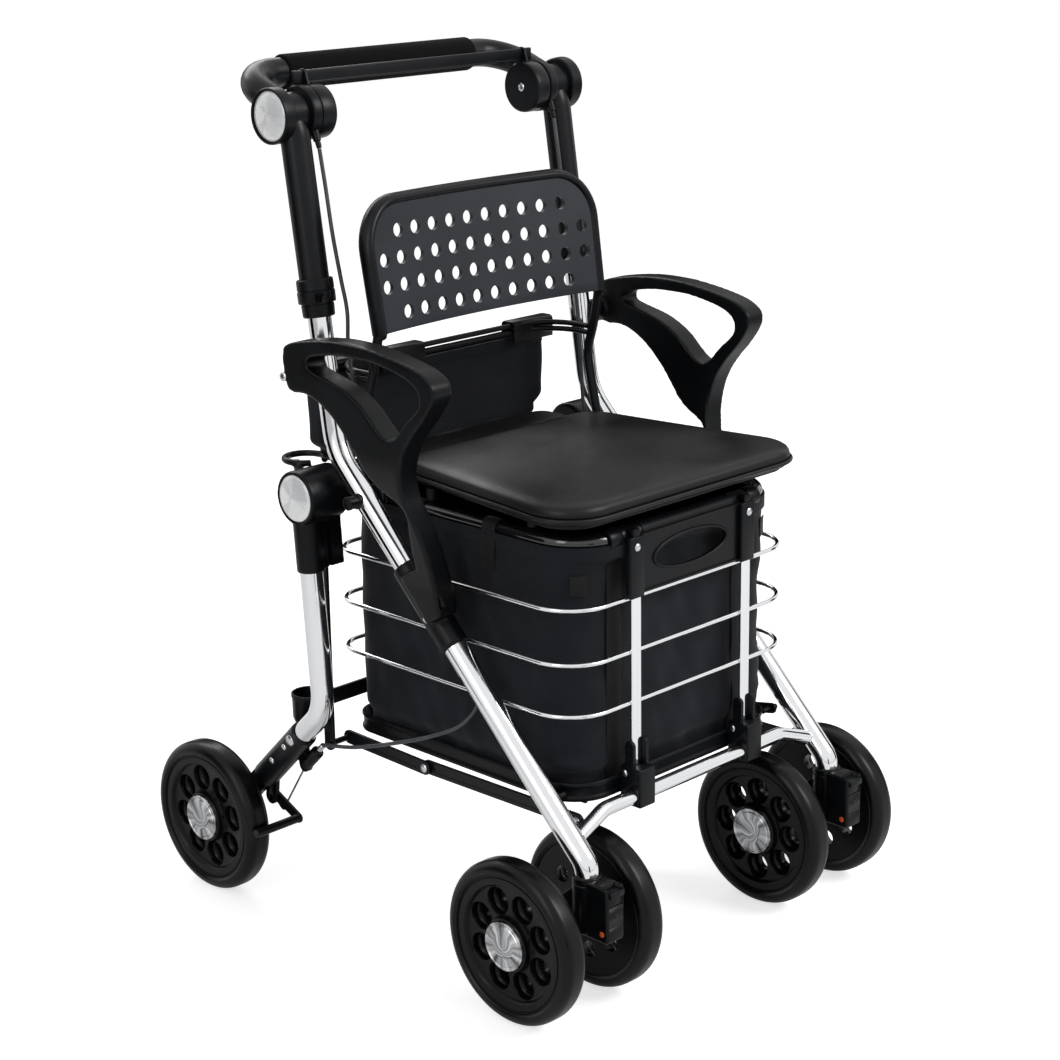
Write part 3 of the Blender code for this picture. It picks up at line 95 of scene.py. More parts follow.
def applied(piece, kind, **settings):
    """Adds a modifier with its settings and applies it at once."""
    work_on(piece)
    step = piece.modifiers.new(kind.lower(), kind)
    for key, value in settings.items():
        setattr(step, key, value)
    bpy.ops.object.modifier_apply(modifier=step.name)
    return piece


def joined(name, *pieces):
    work_on(*pieces)
    if len(pieces) > 1:
        bpy.ops.object.join()
    pieces[0].name = name
    return pieces[0]


def carved(piece, cutter):
    """Cuts with another mesh, which is used up."""
    applied(piece, "BOOLEAN", object=cutter, operation="DIFFERENCE", solver="EXACT")
    bpy.data.objects.remove(cutter, do_unlink=True)
    return piece


def mesh_piece(name, places, faces):
    """A new piece from its points and faces."""
    data = bpy.data.meshes.new(name)
    data.from_pydata(places, [], faces)
    piece = bpy.data.objects.new(name, data)
    bpy.context.scene.collection.objects.link(piece)
    return piece


# %% [markdown]
# ## Colour and nodes
# A colour is written as a maker would give it, in sRGB hex, and turned to the linear values that a
# shader reads. One function adds a node with its settings and its links.

# %% Node helpers
def from_hex(text):
    channels = [int(text[index : index + 2], 16) / 255 for index in (1, 3, 5)]
    linear = [c / 12.92 if c <= 0.04045 else ((c + 0.055) / 1.055) ** 2.4 for c in channels]
    return (*linear, 1.0)


def add_node(tree, kind, settings=None, links=None):
    """Inputs are given by name or number, other settings by their property's name."""
    node = tree.nodes.new(kind)
    for key, value in (settings or {}).items():
        if isinstance(key, int) or key in node.inputs:
            node.inputs[key].default_value = value
        else:
            setattr(node, key, value)
    for key, source in (links or {}).items():
        tree.links.new(source, node.inputs[key])
    return node


def new_material(name, colour, roughness, metallic=0.0, **sockets):
    made = bpy.data.materials.new(name)
    made.use_nodes = True
    shader = made.node_tree.nodes["Principled BSDF"]
    shader.inputs["Base Color"].default_value = from_hex(colour)
    shader.inputs["Roughness"].default_value = roughness
    shader.inputs["Metallic"].default_value = metallic
    for key, value in sockets.items():
        shader.inputs[key.replace("_", " ")].default_value = value
    return made, made.node_tree, shader


def ramp(tree, source, low, high, dark, light):
    """Maps a pattern's value between two places to two hex colours or two numbers."""
    if isinstance(dark, str):
        dark, light = from_hex(dark), from_hex(light)
        span = add_node(tree, "ShaderNodeMapRange", {"From Min": low, "From Max": high}, {"Value": source})
        mixed = add_node(
            tree, "ShaderNodeMix", {"data_type": "RGBA", 6: dark, 7: light}, {0: span.outputs[0]}
        )
        return mixed.outputs[2]
    settings = {"From Min": low, "From Max": high, "To Min": dark, "To Max": light}
    return add_node(tree, "ShaderNodeMapRange", settings, {"Value": source}).outputs[0]


# %% [markdown]
# ## Chrome-plated steel
# The side tubes, the rear legs and the basket are steel tube and wire, polished and then plated with
# nickel and chrome. The plating is a mirror, so its look is the room's: bright strips and soft dark
# ones. A slight waviness from the tube mill breaks the reflections up, and fingers leave a faint haze.

# %% Chrome
def chrome_plated_steel():
    made, tree, shader = new_material("chrome_plated_steel", "#E4E5E7", 0.10, 1.0)
    where = add_node(tree, "ShaderNodeTexCoord").outputs["Object"]
    haze = add_node(tree, "ShaderNodeTexNoise", {"Scale": 55.0, "Detail": 3.0}, {"Vector": where})
    tree.links.new(ramp(tree, haze.outputs[0], 0.35, 0.70, 0.07, 0.17), shader.inputs["Roughness"])
    wave = add_node(tree, "ShaderNodeTexNoise", {"Scale": 18.0, "Detail": 2.0}, {"Vector": where})
    bump = add_node(
        tree, "ShaderNodeBump", {"Strength": 0.06, "Distance": 0.004}, {"Height": wave.outputs[0]}
    )
    tree.links.new(bump.outputs[0], shader.inputs["Normal"])
    return made


chrome = chrome_plated_steel()


# %% [markdown]
# ## Black powder coat
# The handle, the seat tube, the rails and the brackets are steel with a baked powder coat: a satin
# black with a very fine orange peel, here as bumps about 1.5 mm apart, and edges that shine a little.

# %% Powder coat
def powder_coat():
    made, tree, shader = new_material("black_powder_coat", "#0B0C0F", 0.30, 0.0, Specular_IOR_Level=0.20)
    where = add_node(tree, "ShaderNodeTexCoord").outputs["Object"]
    peel = add_node(tree, "ShaderNodeTexNoise", {"Scale": 650.0, "Detail": 2.0}, {"Vector": where})
    bump = add_node(
        tree, "ShaderNodeBump", {"Strength": 0.18, "Distance": 0.0004}, {"Height": peel.outputs[0]}
    )
    tree.links.new(bump.outputs[0], shader.inputs["Normal"])
    cloud = add_node(tree, "ShaderNodeTexNoise", {"Scale": 24.0, "Detail": 4.0}, {"Vector": where})
    tree.links.new(ramp(tree, cloud.outputs[0], 0.3, 0.7, 0.27, 0.37), shader.inputs["Roughness"])
    tree.links.new(ramp(tree, cloud.outputs[0], 0.3, 0.7, "#090A0D", "#101216"), shader.inputs["Base Color"])
    return made


powder = powder_coat()


# %% [markdown]
# ## Moulded black plastic
# Armrests, housings, rims, the backrest and the tray are injection moulded, in nylon or ABS, in a tool
# with an eroded texture. It gives a fine even grain, drawn at about 0.9 mm, and a soft wide sheen.

# %% Moulded plastic
def moulded_plastic(name, colour, lighter, roughness, grain_mm=0.9, strength=0.20, shine=0.16):
    made, tree, shader = new_material(name, colour, roughness, Specular_IOR_Level=shine)
    where = add_node(tree, "ShaderNodeTexCoord").outputs["Object"]
    grain = add_node(
        tree, "ShaderNodeTexNoise", {"Scale": 1000.0 / grain_mm, "Detail": 2.0}, {"Vector": where}
    )
    bump = add_node(
        tree, "ShaderNodeBump", {"Strength": strength, "Distance": 0.0003}, {"Height": grain.outputs[0]}
    )
    tree.links.new(bump.outputs[0], shader.inputs["Normal"])
    flow = add_node(tree, "ShaderNodeTexNoise", {"Scale": 14.0, "Detail": 5.0}, {"Vector": where})
    tree.links.new(ramp(tree, flow.outputs[0], 0.3, 0.7, colour, lighter), shader.inputs["Base Color"])
    tree.links.new(
        ramp(tree, flow.outputs[0], 0.3, 0.7, roughness - 0.05, roughness + 0.06), shader.inputs["Roughness"]
    )
    return made


plastic = moulded_plastic("eroded_abs", "#08090B", "#0E1013", 0.33)
rim_plastic = moulded_plastic("moulded_nylon", "#060607", "#0A0A0B", 0.26, 0.7, 0.10, 0.16)
# The backrest's plastic is drawn lighter than the other black plastic: a painted sheen, for the broad sheen
# of the panel.
back_plastic_painted_sheen = moulded_plastic("satin_abs", "#1C2026", "#262A31", 0.40, 0.9, 0.16, 0.34)

# %% [markdown]
# ## Tyre
# The tyres are solid polyurethane, cast smooth with fine pores, a little lighter and rougher in soft
# patches. The tread has no pattern.

# %% Tyre material
def cast_tyre():
    made, tree, shader = new_material("cast_polyurethane", "#050506", 0.32, Specular_IOR_Level=0.20)
    where = add_node(tree, "ShaderNodeTexCoord").outputs["Object"]
    pores = add_node(tree, "ShaderNodeTexNoise", {"Scale": 900.0, "Detail": 2.0}, {"Vector": where})
    soft_patches = add_node(tree, "ShaderNodeTexNoise", {"Scale": 30.0, "Detail": 5.0}, {"Vector": where})
    tree.links.new(ramp(tree, soft_patches.outputs[0], 0.3, 0.75, "#040405", "#080809"), shader.inputs["Base Color"])
    tree.links.new(ramp(tree, soft_patches.outputs[0], 0.3, 0.7, 0.26, 0.36), shader.inputs["Roughness"])
    bump = add_node(
        tree, "ShaderNodeBump", {"Strength": 0.12, "Distance": 0.0003}, {"Height": pores.outputs[0]}
    )
    tree.links.new(bump.outputs[0], shader.inputs["Normal"])
    return made


tyre_rubber = cast_tyre()


# %% [markdown]
# ## Turned shapes
# A wheel is a shape of revolution. One corner of it is drawn as a chain of points, each extruded from
# the last, and the chain is spun round its axle. A profile is (along the axle, away from it).

# %% Turning helper
def across(axis):
    """A direction square to an axis."""
    axis = Vector(axis).normalized()
    other = Vector((0, 0, 1)) if abs(axis.z) < 0.9 else Vector((0, 1, 0))
    return (other - axis * other.dot(axis)).normalized()


def turned(name, profile, centre, axis=(1, 0, 0), steps=72, angle=32, closed=False):
    axis = Vector(axis).normalized()
    out = across(axis)
    places = [Vector(centre) + axis * along + out * radius for along, radius in profile]
    if closed:
        places.append(places[0])
    nothing_selected()
    bpy.ops.mesh.primitive_plane_add(size=0.0002, location=places[0])
    piece = bpy.context.object
    piece.name = name
    bpy.ops.object.mode_set(mode="EDIT")
    bpy.ops.mesh.merge(type="CENTER")
    for before, after in zip(places, places[1:]):
        bpy.ops.mesh.extrude_region_move(TRANSFORM_OT_translate={"value": after - before})
    bpy.ops.mesh.select_all(action="SELECT")
    bpy.ops.mesh.spin(steps=steps, angle=2 * math.pi, center=centre, axis=axis)
    bpy.ops.object.mode_set(mode="OBJECT")
    settle(piece)
    return clean(piece, angle=angle)


def arc(centre, radius, start, end, count):
    """Points of a rounded corner in a profile or outline, angles in degrees."""
    made = []
    for index in range(count + 1):
        angle = math.radians(start + (end - start) * index / count)
        made.append((centre[0] + radius * math.cos(angle), centre[1] + radius * math.sin(angle)))
    return made


def rivet(name, place, axis, radius, height):
    """The domed head of a rivet or a screw cap."""
    profile = [(-0.0010, 0.0), (-0.0010, radius), (height * 0.35, radius)]
    profile += [(height * 0.75, radius * 0.82), (height * 0.95, radius * 0.5), (height, 0.0)]
    return turned(name, profile, place, axis, 20)


print("helpers ready")

# %% [markdown]
# ## Tubes, wires and cables
# A bent tube is drawn as its centre line with round bends, given its thickness, and made a mesh.

# %% Tube helper
def round_bends(points, radii, step=6):
    """The centre line with an arc of the given radius at each inner point."""
    points = [Vector(point) for point in points]
    line = [points[0]]
    for before, corner, after, radius in zip(points, points[1:], points[2:], radii):
        into = (corner - before).normalized()
        away = (after - corner).normalized()
        turn = into.angle(away)
        reach = radius * math.tan(turn / 2)
        start = corner - into * reach
        centre = start + (away - into * into.dot(away)).normalized() * radius
        count = max(2, math.ceil(math.degrees(turn) / step))
        axle = into.cross(away).normalized()
        for index in range(count + 1):
            line.append(centre + Matrix.Rotation(turn * index / count, 3, axle) @ (start - centre))
    line.append(points[-1])
    return line


def add_run(curve, places, closed):
    run = curve.splines.new("POLY")
    run.points.add(len(places) - 1)
    for point, place in zip(run.points, places):
        point.co = (*place, 1.0)
    run.use_cyclic_u = closed


def from_curve(name, curve):
    """The mesh that a curve with a thickness stands for."""
    piece = bpy.data.objects.new(name, curve)
    bpy.context.scene.collection.objects.link(piece)
    work_on(piece)
    bpy.ops.object.convert(target="MESH")
    return bpy.context.object


def tube(name, line, radius, rings=6, closed=False):
    """A tube round its centre line. A higher bevel resolution, `rings`, makes it rounder."""
    data = bpy.data.curves.new(name, "CURVE")
    data.dimensions = "3D"
    data.bevel_depth = radius
    data.bevel_resolution = rings
    data.use_fill_caps = True
    add_run(data, line, closed)
    return clean(from_curve(name, data), angle=40)


def smooth_line(points, steps=6):
    """A smooth run through the given points."""
    points = [Vector(point) for point in points]
    ends = [points[0] * 2 - points[1]] + points + [points[-1] * 2 - points[-2]]
    line = []
    for a, b, c, d in zip(ends, ends[1:], ends[2:], ends[3:]):
        for index in range(steps):
            t = index / steps
            square, cube = 2 * a - 5 * b + 4 * c - d, 3 * b - a - 3 * c + d
            line.append(0.5 * (2 * b + (c - a) * t + square * t**2 + cube * t**3))
    line.append(points[-1])
    return line


# %% [markdown]
# ## Plates and mouldings
# A flat or moulded piece starts as an outline with its holes, filled and given a thickness, and its
# edges are rounded with a bevel. `u` and `v` are the directions that the outline's numbers run in.

# %% Plate and block helpers
def plate(name, outlines, thickness, origin=(0, 0, 0), u=(0, 1, 0), v=(0, 0, 1), edge=0.0, rounds=3):
    data = bpy.data.curves.new(name, "CURVE")
    data.dimensions = "2D"
    data.fill_mode = "BOTH"
    data.extrude = thickness / 2
    for outline in outlines:
        add_run(data, [(*place, 0.0) for place in outline], True)
    piece = from_curve(name, data)
    u, v = Vector(u).normalized(), Vector(v).normalized()
    w = u.cross(v)
    turn = Matrix((u, v, w)).transposed().to_4x4()
    piece.matrix_world = Matrix.Translation(origin) @ turn
    settle(piece)
    clean(piece)
    if edge:
        work_on(piece)
        bpy.ops.object.mode_set(mode="EDIT")
        bpy.ops.mesh.select_all(action="SELECT")
        bpy.ops.mesh.dissolve_limited(angle_limit=math.radians(1))
        bpy.ops.object.mode_set(mode="OBJECT")
        applied(
            piece, "BEVEL", width=edge, segments=rounds, limit_method="ANGLE", angle_limit=math.radians(50)
        )
        clean(piece)
    return piece


def sliced(piece, normal, places):
    """Cuts new edges across a piece, so that it can bend there. Nothing is taken away."""
    work_on(piece)
    bpy.ops.object.mode_set(mode="EDIT")
    for place in places:
        bpy.ops.mesh.select_all(action="SELECT")
        bpy.ops.mesh.bisect(plane_co=Vector(normal) * place, plane_no=normal)
    bpy.ops.object.mode_set(mode="OBJECT")


def outline_of(corners, radii, step=8):
    """A closed outline with a round of the given radius at each corner."""
    made = []
    count = len(corners)
    for index, corner in enumerate(corners):
        before, after = corners[index - 1], corners[(index + 1) % count]
        line = round_bends([(*before, 0), (*corner, 0), (*after, 0)], [radii[index]], step)
        made += [(point.x, point.y) for point in line[1:-1]]
    return made


def stadium(start, end, radius, count=12):
    """The outline of a link with round ends."""
    start, end = Vector(start), Vector(end)
    heading = math.degrees(math.atan2(end.y - start.y, end.x - start.x))
    return arc(end, radius, heading - 90, heading + 90, count) + arc(
        start, radius, heading + 90, heading + 270, count
    )


def block(name, low, high, edge=0.0015, rounds=2):
    """A moulded block with rounded edges."""
    nothing_selected()
    low, high = Vector(low), Vector(high)
    bpy.ops.mesh.primitive_cube_add(size=1, location=(low + high) / 2)
    piece = bpy.context.object
    piece.name = name
    piece.scale = high - low
    settle(piece)
    applied(piece, "BEVEL", width=edge, segments=rounds)
    return clean(piece)


def peg(name, start, end, radius, edge=0.0006, steps=28):
    """A round bar with chamfered ends."""
    start, end = Vector(start), Vector(end)
    length = (end - start).length
    profile = [
        (0, 0), (0, radius - edge), (edge, radius), (length - edge, radius), (length, radius - edge),
        (length, 0),
    ]
    return turned(name, profile, start, end - start, steps)


# %% [markdown]
# ## Dressing
# A finished piece gets its material, rides on the body that carries it, and hides the solids that it
# stands for.


def dress(piece, body, material, *solids):
    piece.data.materials.clear()
    piece.data.materials.append(material)
    if body:
        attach(piece, body)
    if solids:
        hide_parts(*solids)
    return piece


def sides():
    return ((-1, "left"), (1, "right"))


print("tools ready")

# %% [markdown]
# ## The other finishes
# The grip is closed-cell foam rubber: matt, with pinholes under a millimetre. The seat is artificial
# leather: a soft black sheen and a pebbled grain of about 1.6 mm. The cables have a smooth grey PVC
# jacket. Rivets and screws are nickel plated. The orange marks are a bright polyamide insert.

# %% Foam, leather and small parts
def foam_rubber():
    made, tree, shader = new_material("foam_rubber", "#060607", 0.85, Specular_IOR_Level=0.10)
    where = add_node(tree, "ShaderNodeTexCoord").outputs["Object"]
    pores = add_node(
        tree, "ShaderNodeTexVoronoi", {"Scale": 1100.0, "feature": "F1"}, {"Vector": where}
    )
    shade = ramp(tree, pores.outputs["Distance"], 0.05, 0.45, "#030304", "#090909")
    tree.links.new(shade, shader.inputs["Base Color"])
    bump = add_node(
        tree, "ShaderNodeBump", {"Strength": 0.5, "Distance": 0.0006}, {"Height": pores.outputs["Distance"]}
    )
    tree.links.new(bump.outputs[0], shader.inputs["Normal"])
    return made


def artificial_leather():
    made, tree, shader = new_material("artificial_leather", "#070707", 0.38, Specular_IOR_Level=0.26)
    where = add_node(tree, "ShaderNodeTexCoord").outputs["Object"]
    stir = add_node(tree, "ShaderNodeTexNoise", {"Scale": 400.0, "Detail": 2.0}, {"Vector": where})
    nudge = add_node(
        tree, "ShaderNodeVectorMath", {
            "operation": "MULTIPLY_ADD", 1: (0.0008,) * 3
        }, {0: stir.outputs[1], 2: where}
    )
    pebble = add_node(tree, "ShaderNodeTexVoronoi", {"Scale": 620.0}, {"Vector": nudge.outputs[0]})
    crease = add_node(tree, "ShaderNodeTexNoise", {"Scale": 16.0, "Detail": 6.0}, {"Vector": where})
    height = add_node(
        tree,
        "ShaderNodeMath",
        {"operation": "MULTIPLY_ADD", 1: 0.6},
        {0: pebble.outputs["Distance"], 2: crease.outputs[0]},
    )
    bump = add_node(
        tree, "ShaderNodeBump", {"Strength": 0.30, "Distance": 0.0009}, {"Height": height.outputs[0]}
    )
    tree.links.new(bump.outputs[0], shader.inputs["Normal"])
    tree.links.new(ramp(tree, crease.outputs[0], 0.3, 0.7, "#050506", "#0A0A0B"), shader.inputs["Base Color"])
    tree.links.new(ramp(tree, crease.outputs[0], 0.3, 0.7, 0.34, 0.45), shader.inputs["Roughness"])
    return made


def nickel():
    made, tree, shader = new_material("nickel_plate", "#C9CACC", 0.22, 1.0)
    where = add_node(tree, "ShaderNodeTexCoord").outputs["Object"]
    rub = add_node(tree, "ShaderNodeTexNoise", {"Scale": 500.0, "Detail": 3.0}, {"Vector": where})
    tree.links.new(ramp(tree, rub.outputs[0], 0.3, 0.7, 0.15, 0.32), shader.inputs["Roughness"])
    return made


def cable_jacket():
    made, tree, shader = new_material("grey_pvc_jacket", "#3C3E42", 0.42)
    where = add_node(tree, "ShaderNodeTexCoord").outputs["Object"]
    cloud = add_node(tree, "ShaderNodeTexNoise", {"Scale": 60.0, "Detail": 4.0}, {"Vector": where})
    tree.links.new(ramp(tree, cloud.outputs[0], 0.3, 0.7, "#303236", "#484B50"), shader.inputs["Base Color"])
    return made


def orange_insert():
    made, tree, shader = new_material("orange_polyamide", "#F0561E", 0.35)
    where = add_node(tree, "ShaderNodeTexCoord").outputs["Object"]
    cloud = add_node(tree, "ShaderNodeTexNoise", {"Scale": 400.0, "Detail": 2.0}, {"Vector": where})
    tree.links.new(ramp(tree, cloud.outputs[0], 0.3, 0.7, "#E84C18", "#F8682C"), shader.inputs["Base Color"])
    return made


foam = foam_rubber()
leather = artificial_leather()
plating = nickel()
jacket = cable_jacket()
orange = orange_insert()

# %% [markdown]
# ## Woven nylon
# The bag and the pouch are a plain-woven coated nylon, dull and very dark. Its threads are about 0.5 mm
# apart, too fine to show, so they are drawn at 0.9 mm, and those of the webbing at 1.8 mm. They follow
# the cloth, so the weave is drawn on the piece's own UV map, laid out in metres.

# %% Woven cloth
BANDS = 3.2  # bands of a wave texture in each unit of its scale


def woven_nylon(name="woven_nylon", dark="#0A0B0F", light="#161A22", pitch_mm=0.9, rough=0.72):
    made, tree, shader = new_material(
        name, dark, rough, Sheen_Weight=0.12, Sheen_Roughness=0.4, Specular_IOR_Level=0.18
    )
    flat = add_node(tree, "ShaderNodeUVMap", {"uv_map": "cloth"}).outputs[0]
    threads = []
    for direction in ("X", "Y"):
        threads.append(
            add_node(
                tree,
                "ShaderNodeTexWave",
                {"Scale": 1000.0 / pitch_mm / BANDS, "Distortion": 0.6, "bands_direction": direction},
                {"Vector": flat},
            ).outputs["Fac"]
        )
    weave = add_node(tree, "ShaderNodeMath", {"operation": "MULTIPLY"}, {0: threads[0], 1: threads[1]})
    where = add_node(tree, "ShaderNodeTexCoord").outputs["Object"]
    cloud = add_node(tree, "ShaderNodeTexNoise", {"Scale": 11.0, "Detail": 6.0}, {"Vector": where})
    blend = add_node(
        tree, "ShaderNodeMath", {"operation": "MULTIPLY_ADD", 1: 0.35}, {
            0: weave.outputs[0], 2: cloud.outputs[0]
        }
    )
    tree.links.new(ramp(tree, blend.outputs[0], 0.35, 0.95, dark, light), shader.inputs["Base Color"])
    bump = add_node(
        tree, "ShaderNodeBump", {"Strength": 0.35, "Distance": 0.0004}, {"Height": weave.outputs[0]}
    )
    tree.links.new(bump.outputs[0], shader.inputs["Normal"])
    return made


nylon = woven_nylon()
webbing = woven_nylon("black_webbing", "#0A0A0B", "#151618", 1.8, 0.62)

# %% [markdown]
# ## Reflector lens
# A round reflector is a clear acrylic lens with a field of tiny prisms on its back, moulded in sectors.
# It looks silver-white and glittery, because each prism mirrors another part of the room. Here that
# glitter is painted into its colour: a painted reflection, with each sector and each prism given its own
# brightness.

# %% Lens
def prism_lens():
    made, tree, shader = new_material(
        "prismatic_acrylic", "#F0F2F4", 0.24, 0.10, Coat_Weight=1.0, Coat_Roughness=0.03
    )
    where = add_node(tree, "ShaderNodeTexCoord").outputs["Object"]
    prisms = add_node(
        tree, "ShaderNodeTexVoronoi", {"Scale": 420.0, "Randomness": 0.25}, {"Vector": where}
    )
    sector = add_node(tree, "ShaderNodeUVMap", {"uv_map": "polar"}).outputs[0]
    split = add_node(tree, "ShaderNodeSeparateXYZ", None, {0: sector})
    count = add_node(tree, "ShaderNodeMath", {"operation": "MULTIPLY", 1: 12.0}, {0: split.outputs[0]})
    step = add_node(tree, "ShaderNodeMath", {"operation": "FLOOR"}, {0: count.outputs[0]})
    painted_sector_glint = add_node(tree, "ShaderNodeTexWhiteNoise", {"noise_dimensions": "1D"}, {"W": step.outputs[0]})
    mix = add_node(
        tree, "ShaderNodeMath", {"operation": "MULTIPLY_ADD", 1: 0.9}, {
            0: painted_sector_glint.outputs[0], 2: prisms.outputs["Distance"]
        }
    )
    # Painted reflection: the sectors and the prisms get their differing brightness in the colour.
    tree.links.new(ramp(tree, mix.outputs[0], 0.1, 1.2, "#D3D6DB", "#FFFFFF"), shader.inputs["Base Color"])
    bump = add_node(
        tree, "ShaderNodeBump", {"Strength": 0.30, "Distance": 0.0008}, {"Height": prisms.outputs["Distance"]}
    )
    tree.links.new(bump.outputs[0], shader.inputs["Normal"])
    return made


lens = prism_lens()

# %% [markdown]
# ## Spun aluminium
# The hub caps are stamped aluminium, faced on a lathe. The grooves run round the middle, so the light
# stands on them as a bright sunburst. That sunburst is also painted into the colour as bright and dark
# rays: a painted highlight over the faint tone of the grooves. The grain direction comes from a UV map
# that runs round the cap.

# %% Hub cap metal
def spun_aluminium():
    made, tree, shader = new_material("spun_aluminium", "#C4C5C7", 0.27, 1.0, Anisotropic=0.85)
    polar = add_node(tree, "ShaderNodeUVMap", {"uv_map": "polar"}).outputs[0]
    rings = add_node(
        tree, "ShaderNodeVectorMath", {"operation": "MULTIPLY", 1: (0.0, 900.0, 0.0)}, {0: polar}
    )
    groove = add_node(tree, "ShaderNodeTexNoise", {"Scale": 4.0, "Detail": 2.0}, {"Vector": rings.outputs[0]})
    rays = add_node(tree, "ShaderNodeVectorMath", {"operation": "MULTIPLY", 1: (16.0, 7.0, 0.0)}, {0: polar})
    painted_sunburst = add_node(tree, "ShaderNodeTexNoise", {"Scale": 1.0, "Detail": 1.0}, {"Vector": rays.outputs[0]})
    both = add_node(
        tree, "ShaderNodeMath", {"operation": "MULTIPLY_ADD", 1: 0.15},
        {0: groove.outputs[0], 2: painted_sunburst.outputs[0]},
    )
    tree.links.new(ramp(tree, both.outputs[0], 0.45, 0.85, 0.20, 0.36), shader.inputs["Roughness"])
    # The colour is partly the faint tone of the grooves and mostly a painted highlight: the sunburst's rays
    # painted light and dark.
    tree.links.new(ramp(tree, both.outputs[0], 0.42, 0.74, "#5A5B5E", "#DCDDDF"), shader.inputs["Base Color"])
    grain = add_node(tree, "ShaderNodeTangent", {"direction_type": "UV_MAP", "uv_map": "polar"})
    tree.links.new(grain.outputs[0], shader.inputs["Tangent"])
    return made


def polar_map(piece, centre, axis):
    """A UV map with the turn round an axis in u and the distance from it, in metres, in v."""
    axis = Vector(axis).normalized()
    first = across(axis)
    second = axis.cross(first)
    layer = piece.data.uv_layers.new(name="polar")
    for face in piece.data.polygons:
        turns = []
        for loop in face.loop_indices:
            arm = piece.data.vertices[piece.data.loops[loop].vertex_index].co - Vector(centre)
            turn = math.atan2(arm.dot(second), arm.dot(first)) / (2 * math.pi)
            turns.append([turn, (arm - axis * arm.dot(axis)).length])
        wrapped = max(t for t, _ in turns) - min(t for t, _ in turns) > 0.5
        for loop, (turn, reach) in zip(face.loop_indices, turns):
            layer.data[loop].uv = (turn + 1 if wrapped and turn < 0 else turn, reach)
    return piece


hub_metal = spun_aluminium()

# %% [markdown]
# # Wheels
# Six equal wheels. A wheel has a cast tyre with full round shoulders, a moulded rim with a raised ring
# and eight deep round holes, each with a step at its mouth, and a spun cap on the outer face of the hub.
# One wheel is modelled with its axle along X and its outer face to +X, then copied to each place.

# %% One wheel
WHEEL_R, TYRE_ROUND = 0.0875, 0.0112
HOLES, HOLE_CIRCLE = 8, 0.0449


def model_tyre():
    outer = arc((0.0048, WHEEL_R - TYRE_ROUND), TYRE_ROUND, 0, 90, 10)
    half = [(0.0128, 0.0728), (0.0140, 0.0734), (0.0144, 0.0742), (0.0152, 0.0748)] + outer
    profile = half + [(-along, away) for along, away in reversed(half)]
    return turned("tyre", profile, (0, 0, 0), steps=96, closed=True)


def model_rim():
    profile = [(0.0162, 0.0110), (0.0162, 0.0272), (0.0150, 0.0286), (0.0098, 0.0296), (0.0084, 0.0306)]
    profile += [(0.0080, 0.0330), (0.0080, 0.0590), (0.0086, 0.0606), (0.0118, 0.0622), (0.0127, 0.0632)]
    profile += [(0.0129, 0.0650), (0.0129, 0.0700), (0.0120, 0.0706), (0.0120, 0.0712), (0.0129, 0.0718)]
    profile += [
        (0.0128, 0.0727), (-0.0128, 0.0727), (-0.0129, 0.0650), (-0.0126, 0.0320), (-0.0133, 0.0280),
        (-0.0133, 0.0110),
    ]
    piece = turned("rim", profile, (0, 0, 0), steps=96, closed=True)
    for index in range(HOLES):
        angle = 2 * math.pi * (index + 0.5) / HOLES
        centre = (0, HOLE_CIRCLE * math.cos(angle), HOLE_CIRCLE * math.sin(angle))
        mouth = [
            (-0.03, 0), (-0.03, 0.0084), (-0.0050, 0.0094), (0.0, 0.0124), (0.0008, 0.0134), (0.0066, 0.0142)
        ]
        mouth += [(0.0082, 0.0153), (0.03, 0.0153), (0.03, 0)]
        carved(piece, turned("hole", mouth, centre, steps=36))
    return clean(piece, angle=32)


def model_cap():
    profile = [(0.0120, 0.0), (0.0120, 0.0262), (0.0180, 0.0262), (0.0188, 0.0258), (0.0190, 0.0246)]
    profile += [(0.0183, 0.0238), (0.0181, 0.0226), (0.0190, 0.0215), (0.0194, 0.0140), (0.0199, 0.0)]
    piece = turned("hub_cap", profile, (0, 0, 0), steps=72, angle=25)
    return polar_map(piece, (0, 0, 0), (1, 0, 0))


wheel_kit = {"tyre": model_tyre(), "rim": model_rim(), "cap": model_cap()}
for part, piece in wheel_kit.items():
    print(part, len(piece.data.polygons), "faces")

# %% Wheels at their places
AXLE_Y = 0.242
WHEELS = []
for side, name in sides():
    WHEELS.append((f"{name}_caster_outer", (side * 0.2525, -AXLE_Y, WHEEL_R), side))
    WHEELS.append((f"{name}_caster_inner", (side * 0.1375, -AXLE_Y, WHEEL_R), -side))
    WHEELS.append((f"{name}_rear", (side * 0.2603, AXLE_Y, WHEEL_R), side))

for number, (name, place, outward) in enumerate(WHEELS):
    turn = Matrix.Rotation(math.radians(17.0 * number), 4, "X")
    if outward < 0:
        turn = Matrix.Rotation(math.pi, 4, "Z") @ turn
    for part, material in (("tyre", tyre_rubber), ("rim", rim_plastic), ("cap", hub_metal)):
        piece = wheel_kit[part].copy()
        piece.data = wheel_kit[part].data.copy()
        piece.name = f"{name}_{part}_finished"
        bpy.context.scene.collection.objects.link(piece)
        piece.matrix_world = Matrix.Translation(place) @ turn
        settle(piece)
        solids = [] if part == "cap" else [f"{name}_{part}"]
        dress(piece, f"{name}_wheel", material, *solids)
for piece in wheel_kit.values():
    bpy.data.objects.remove(piece, do_unlink=True)
print("wheels placed:", len(WHEELS))

# %% [markdown]
# # The chromed tubes
# Each side has one long tube: straight up under the handle, a knee at the seat, a slope down to the
# caster and a short upright foot. The rear legs and the bowed cross tube are chromed too.

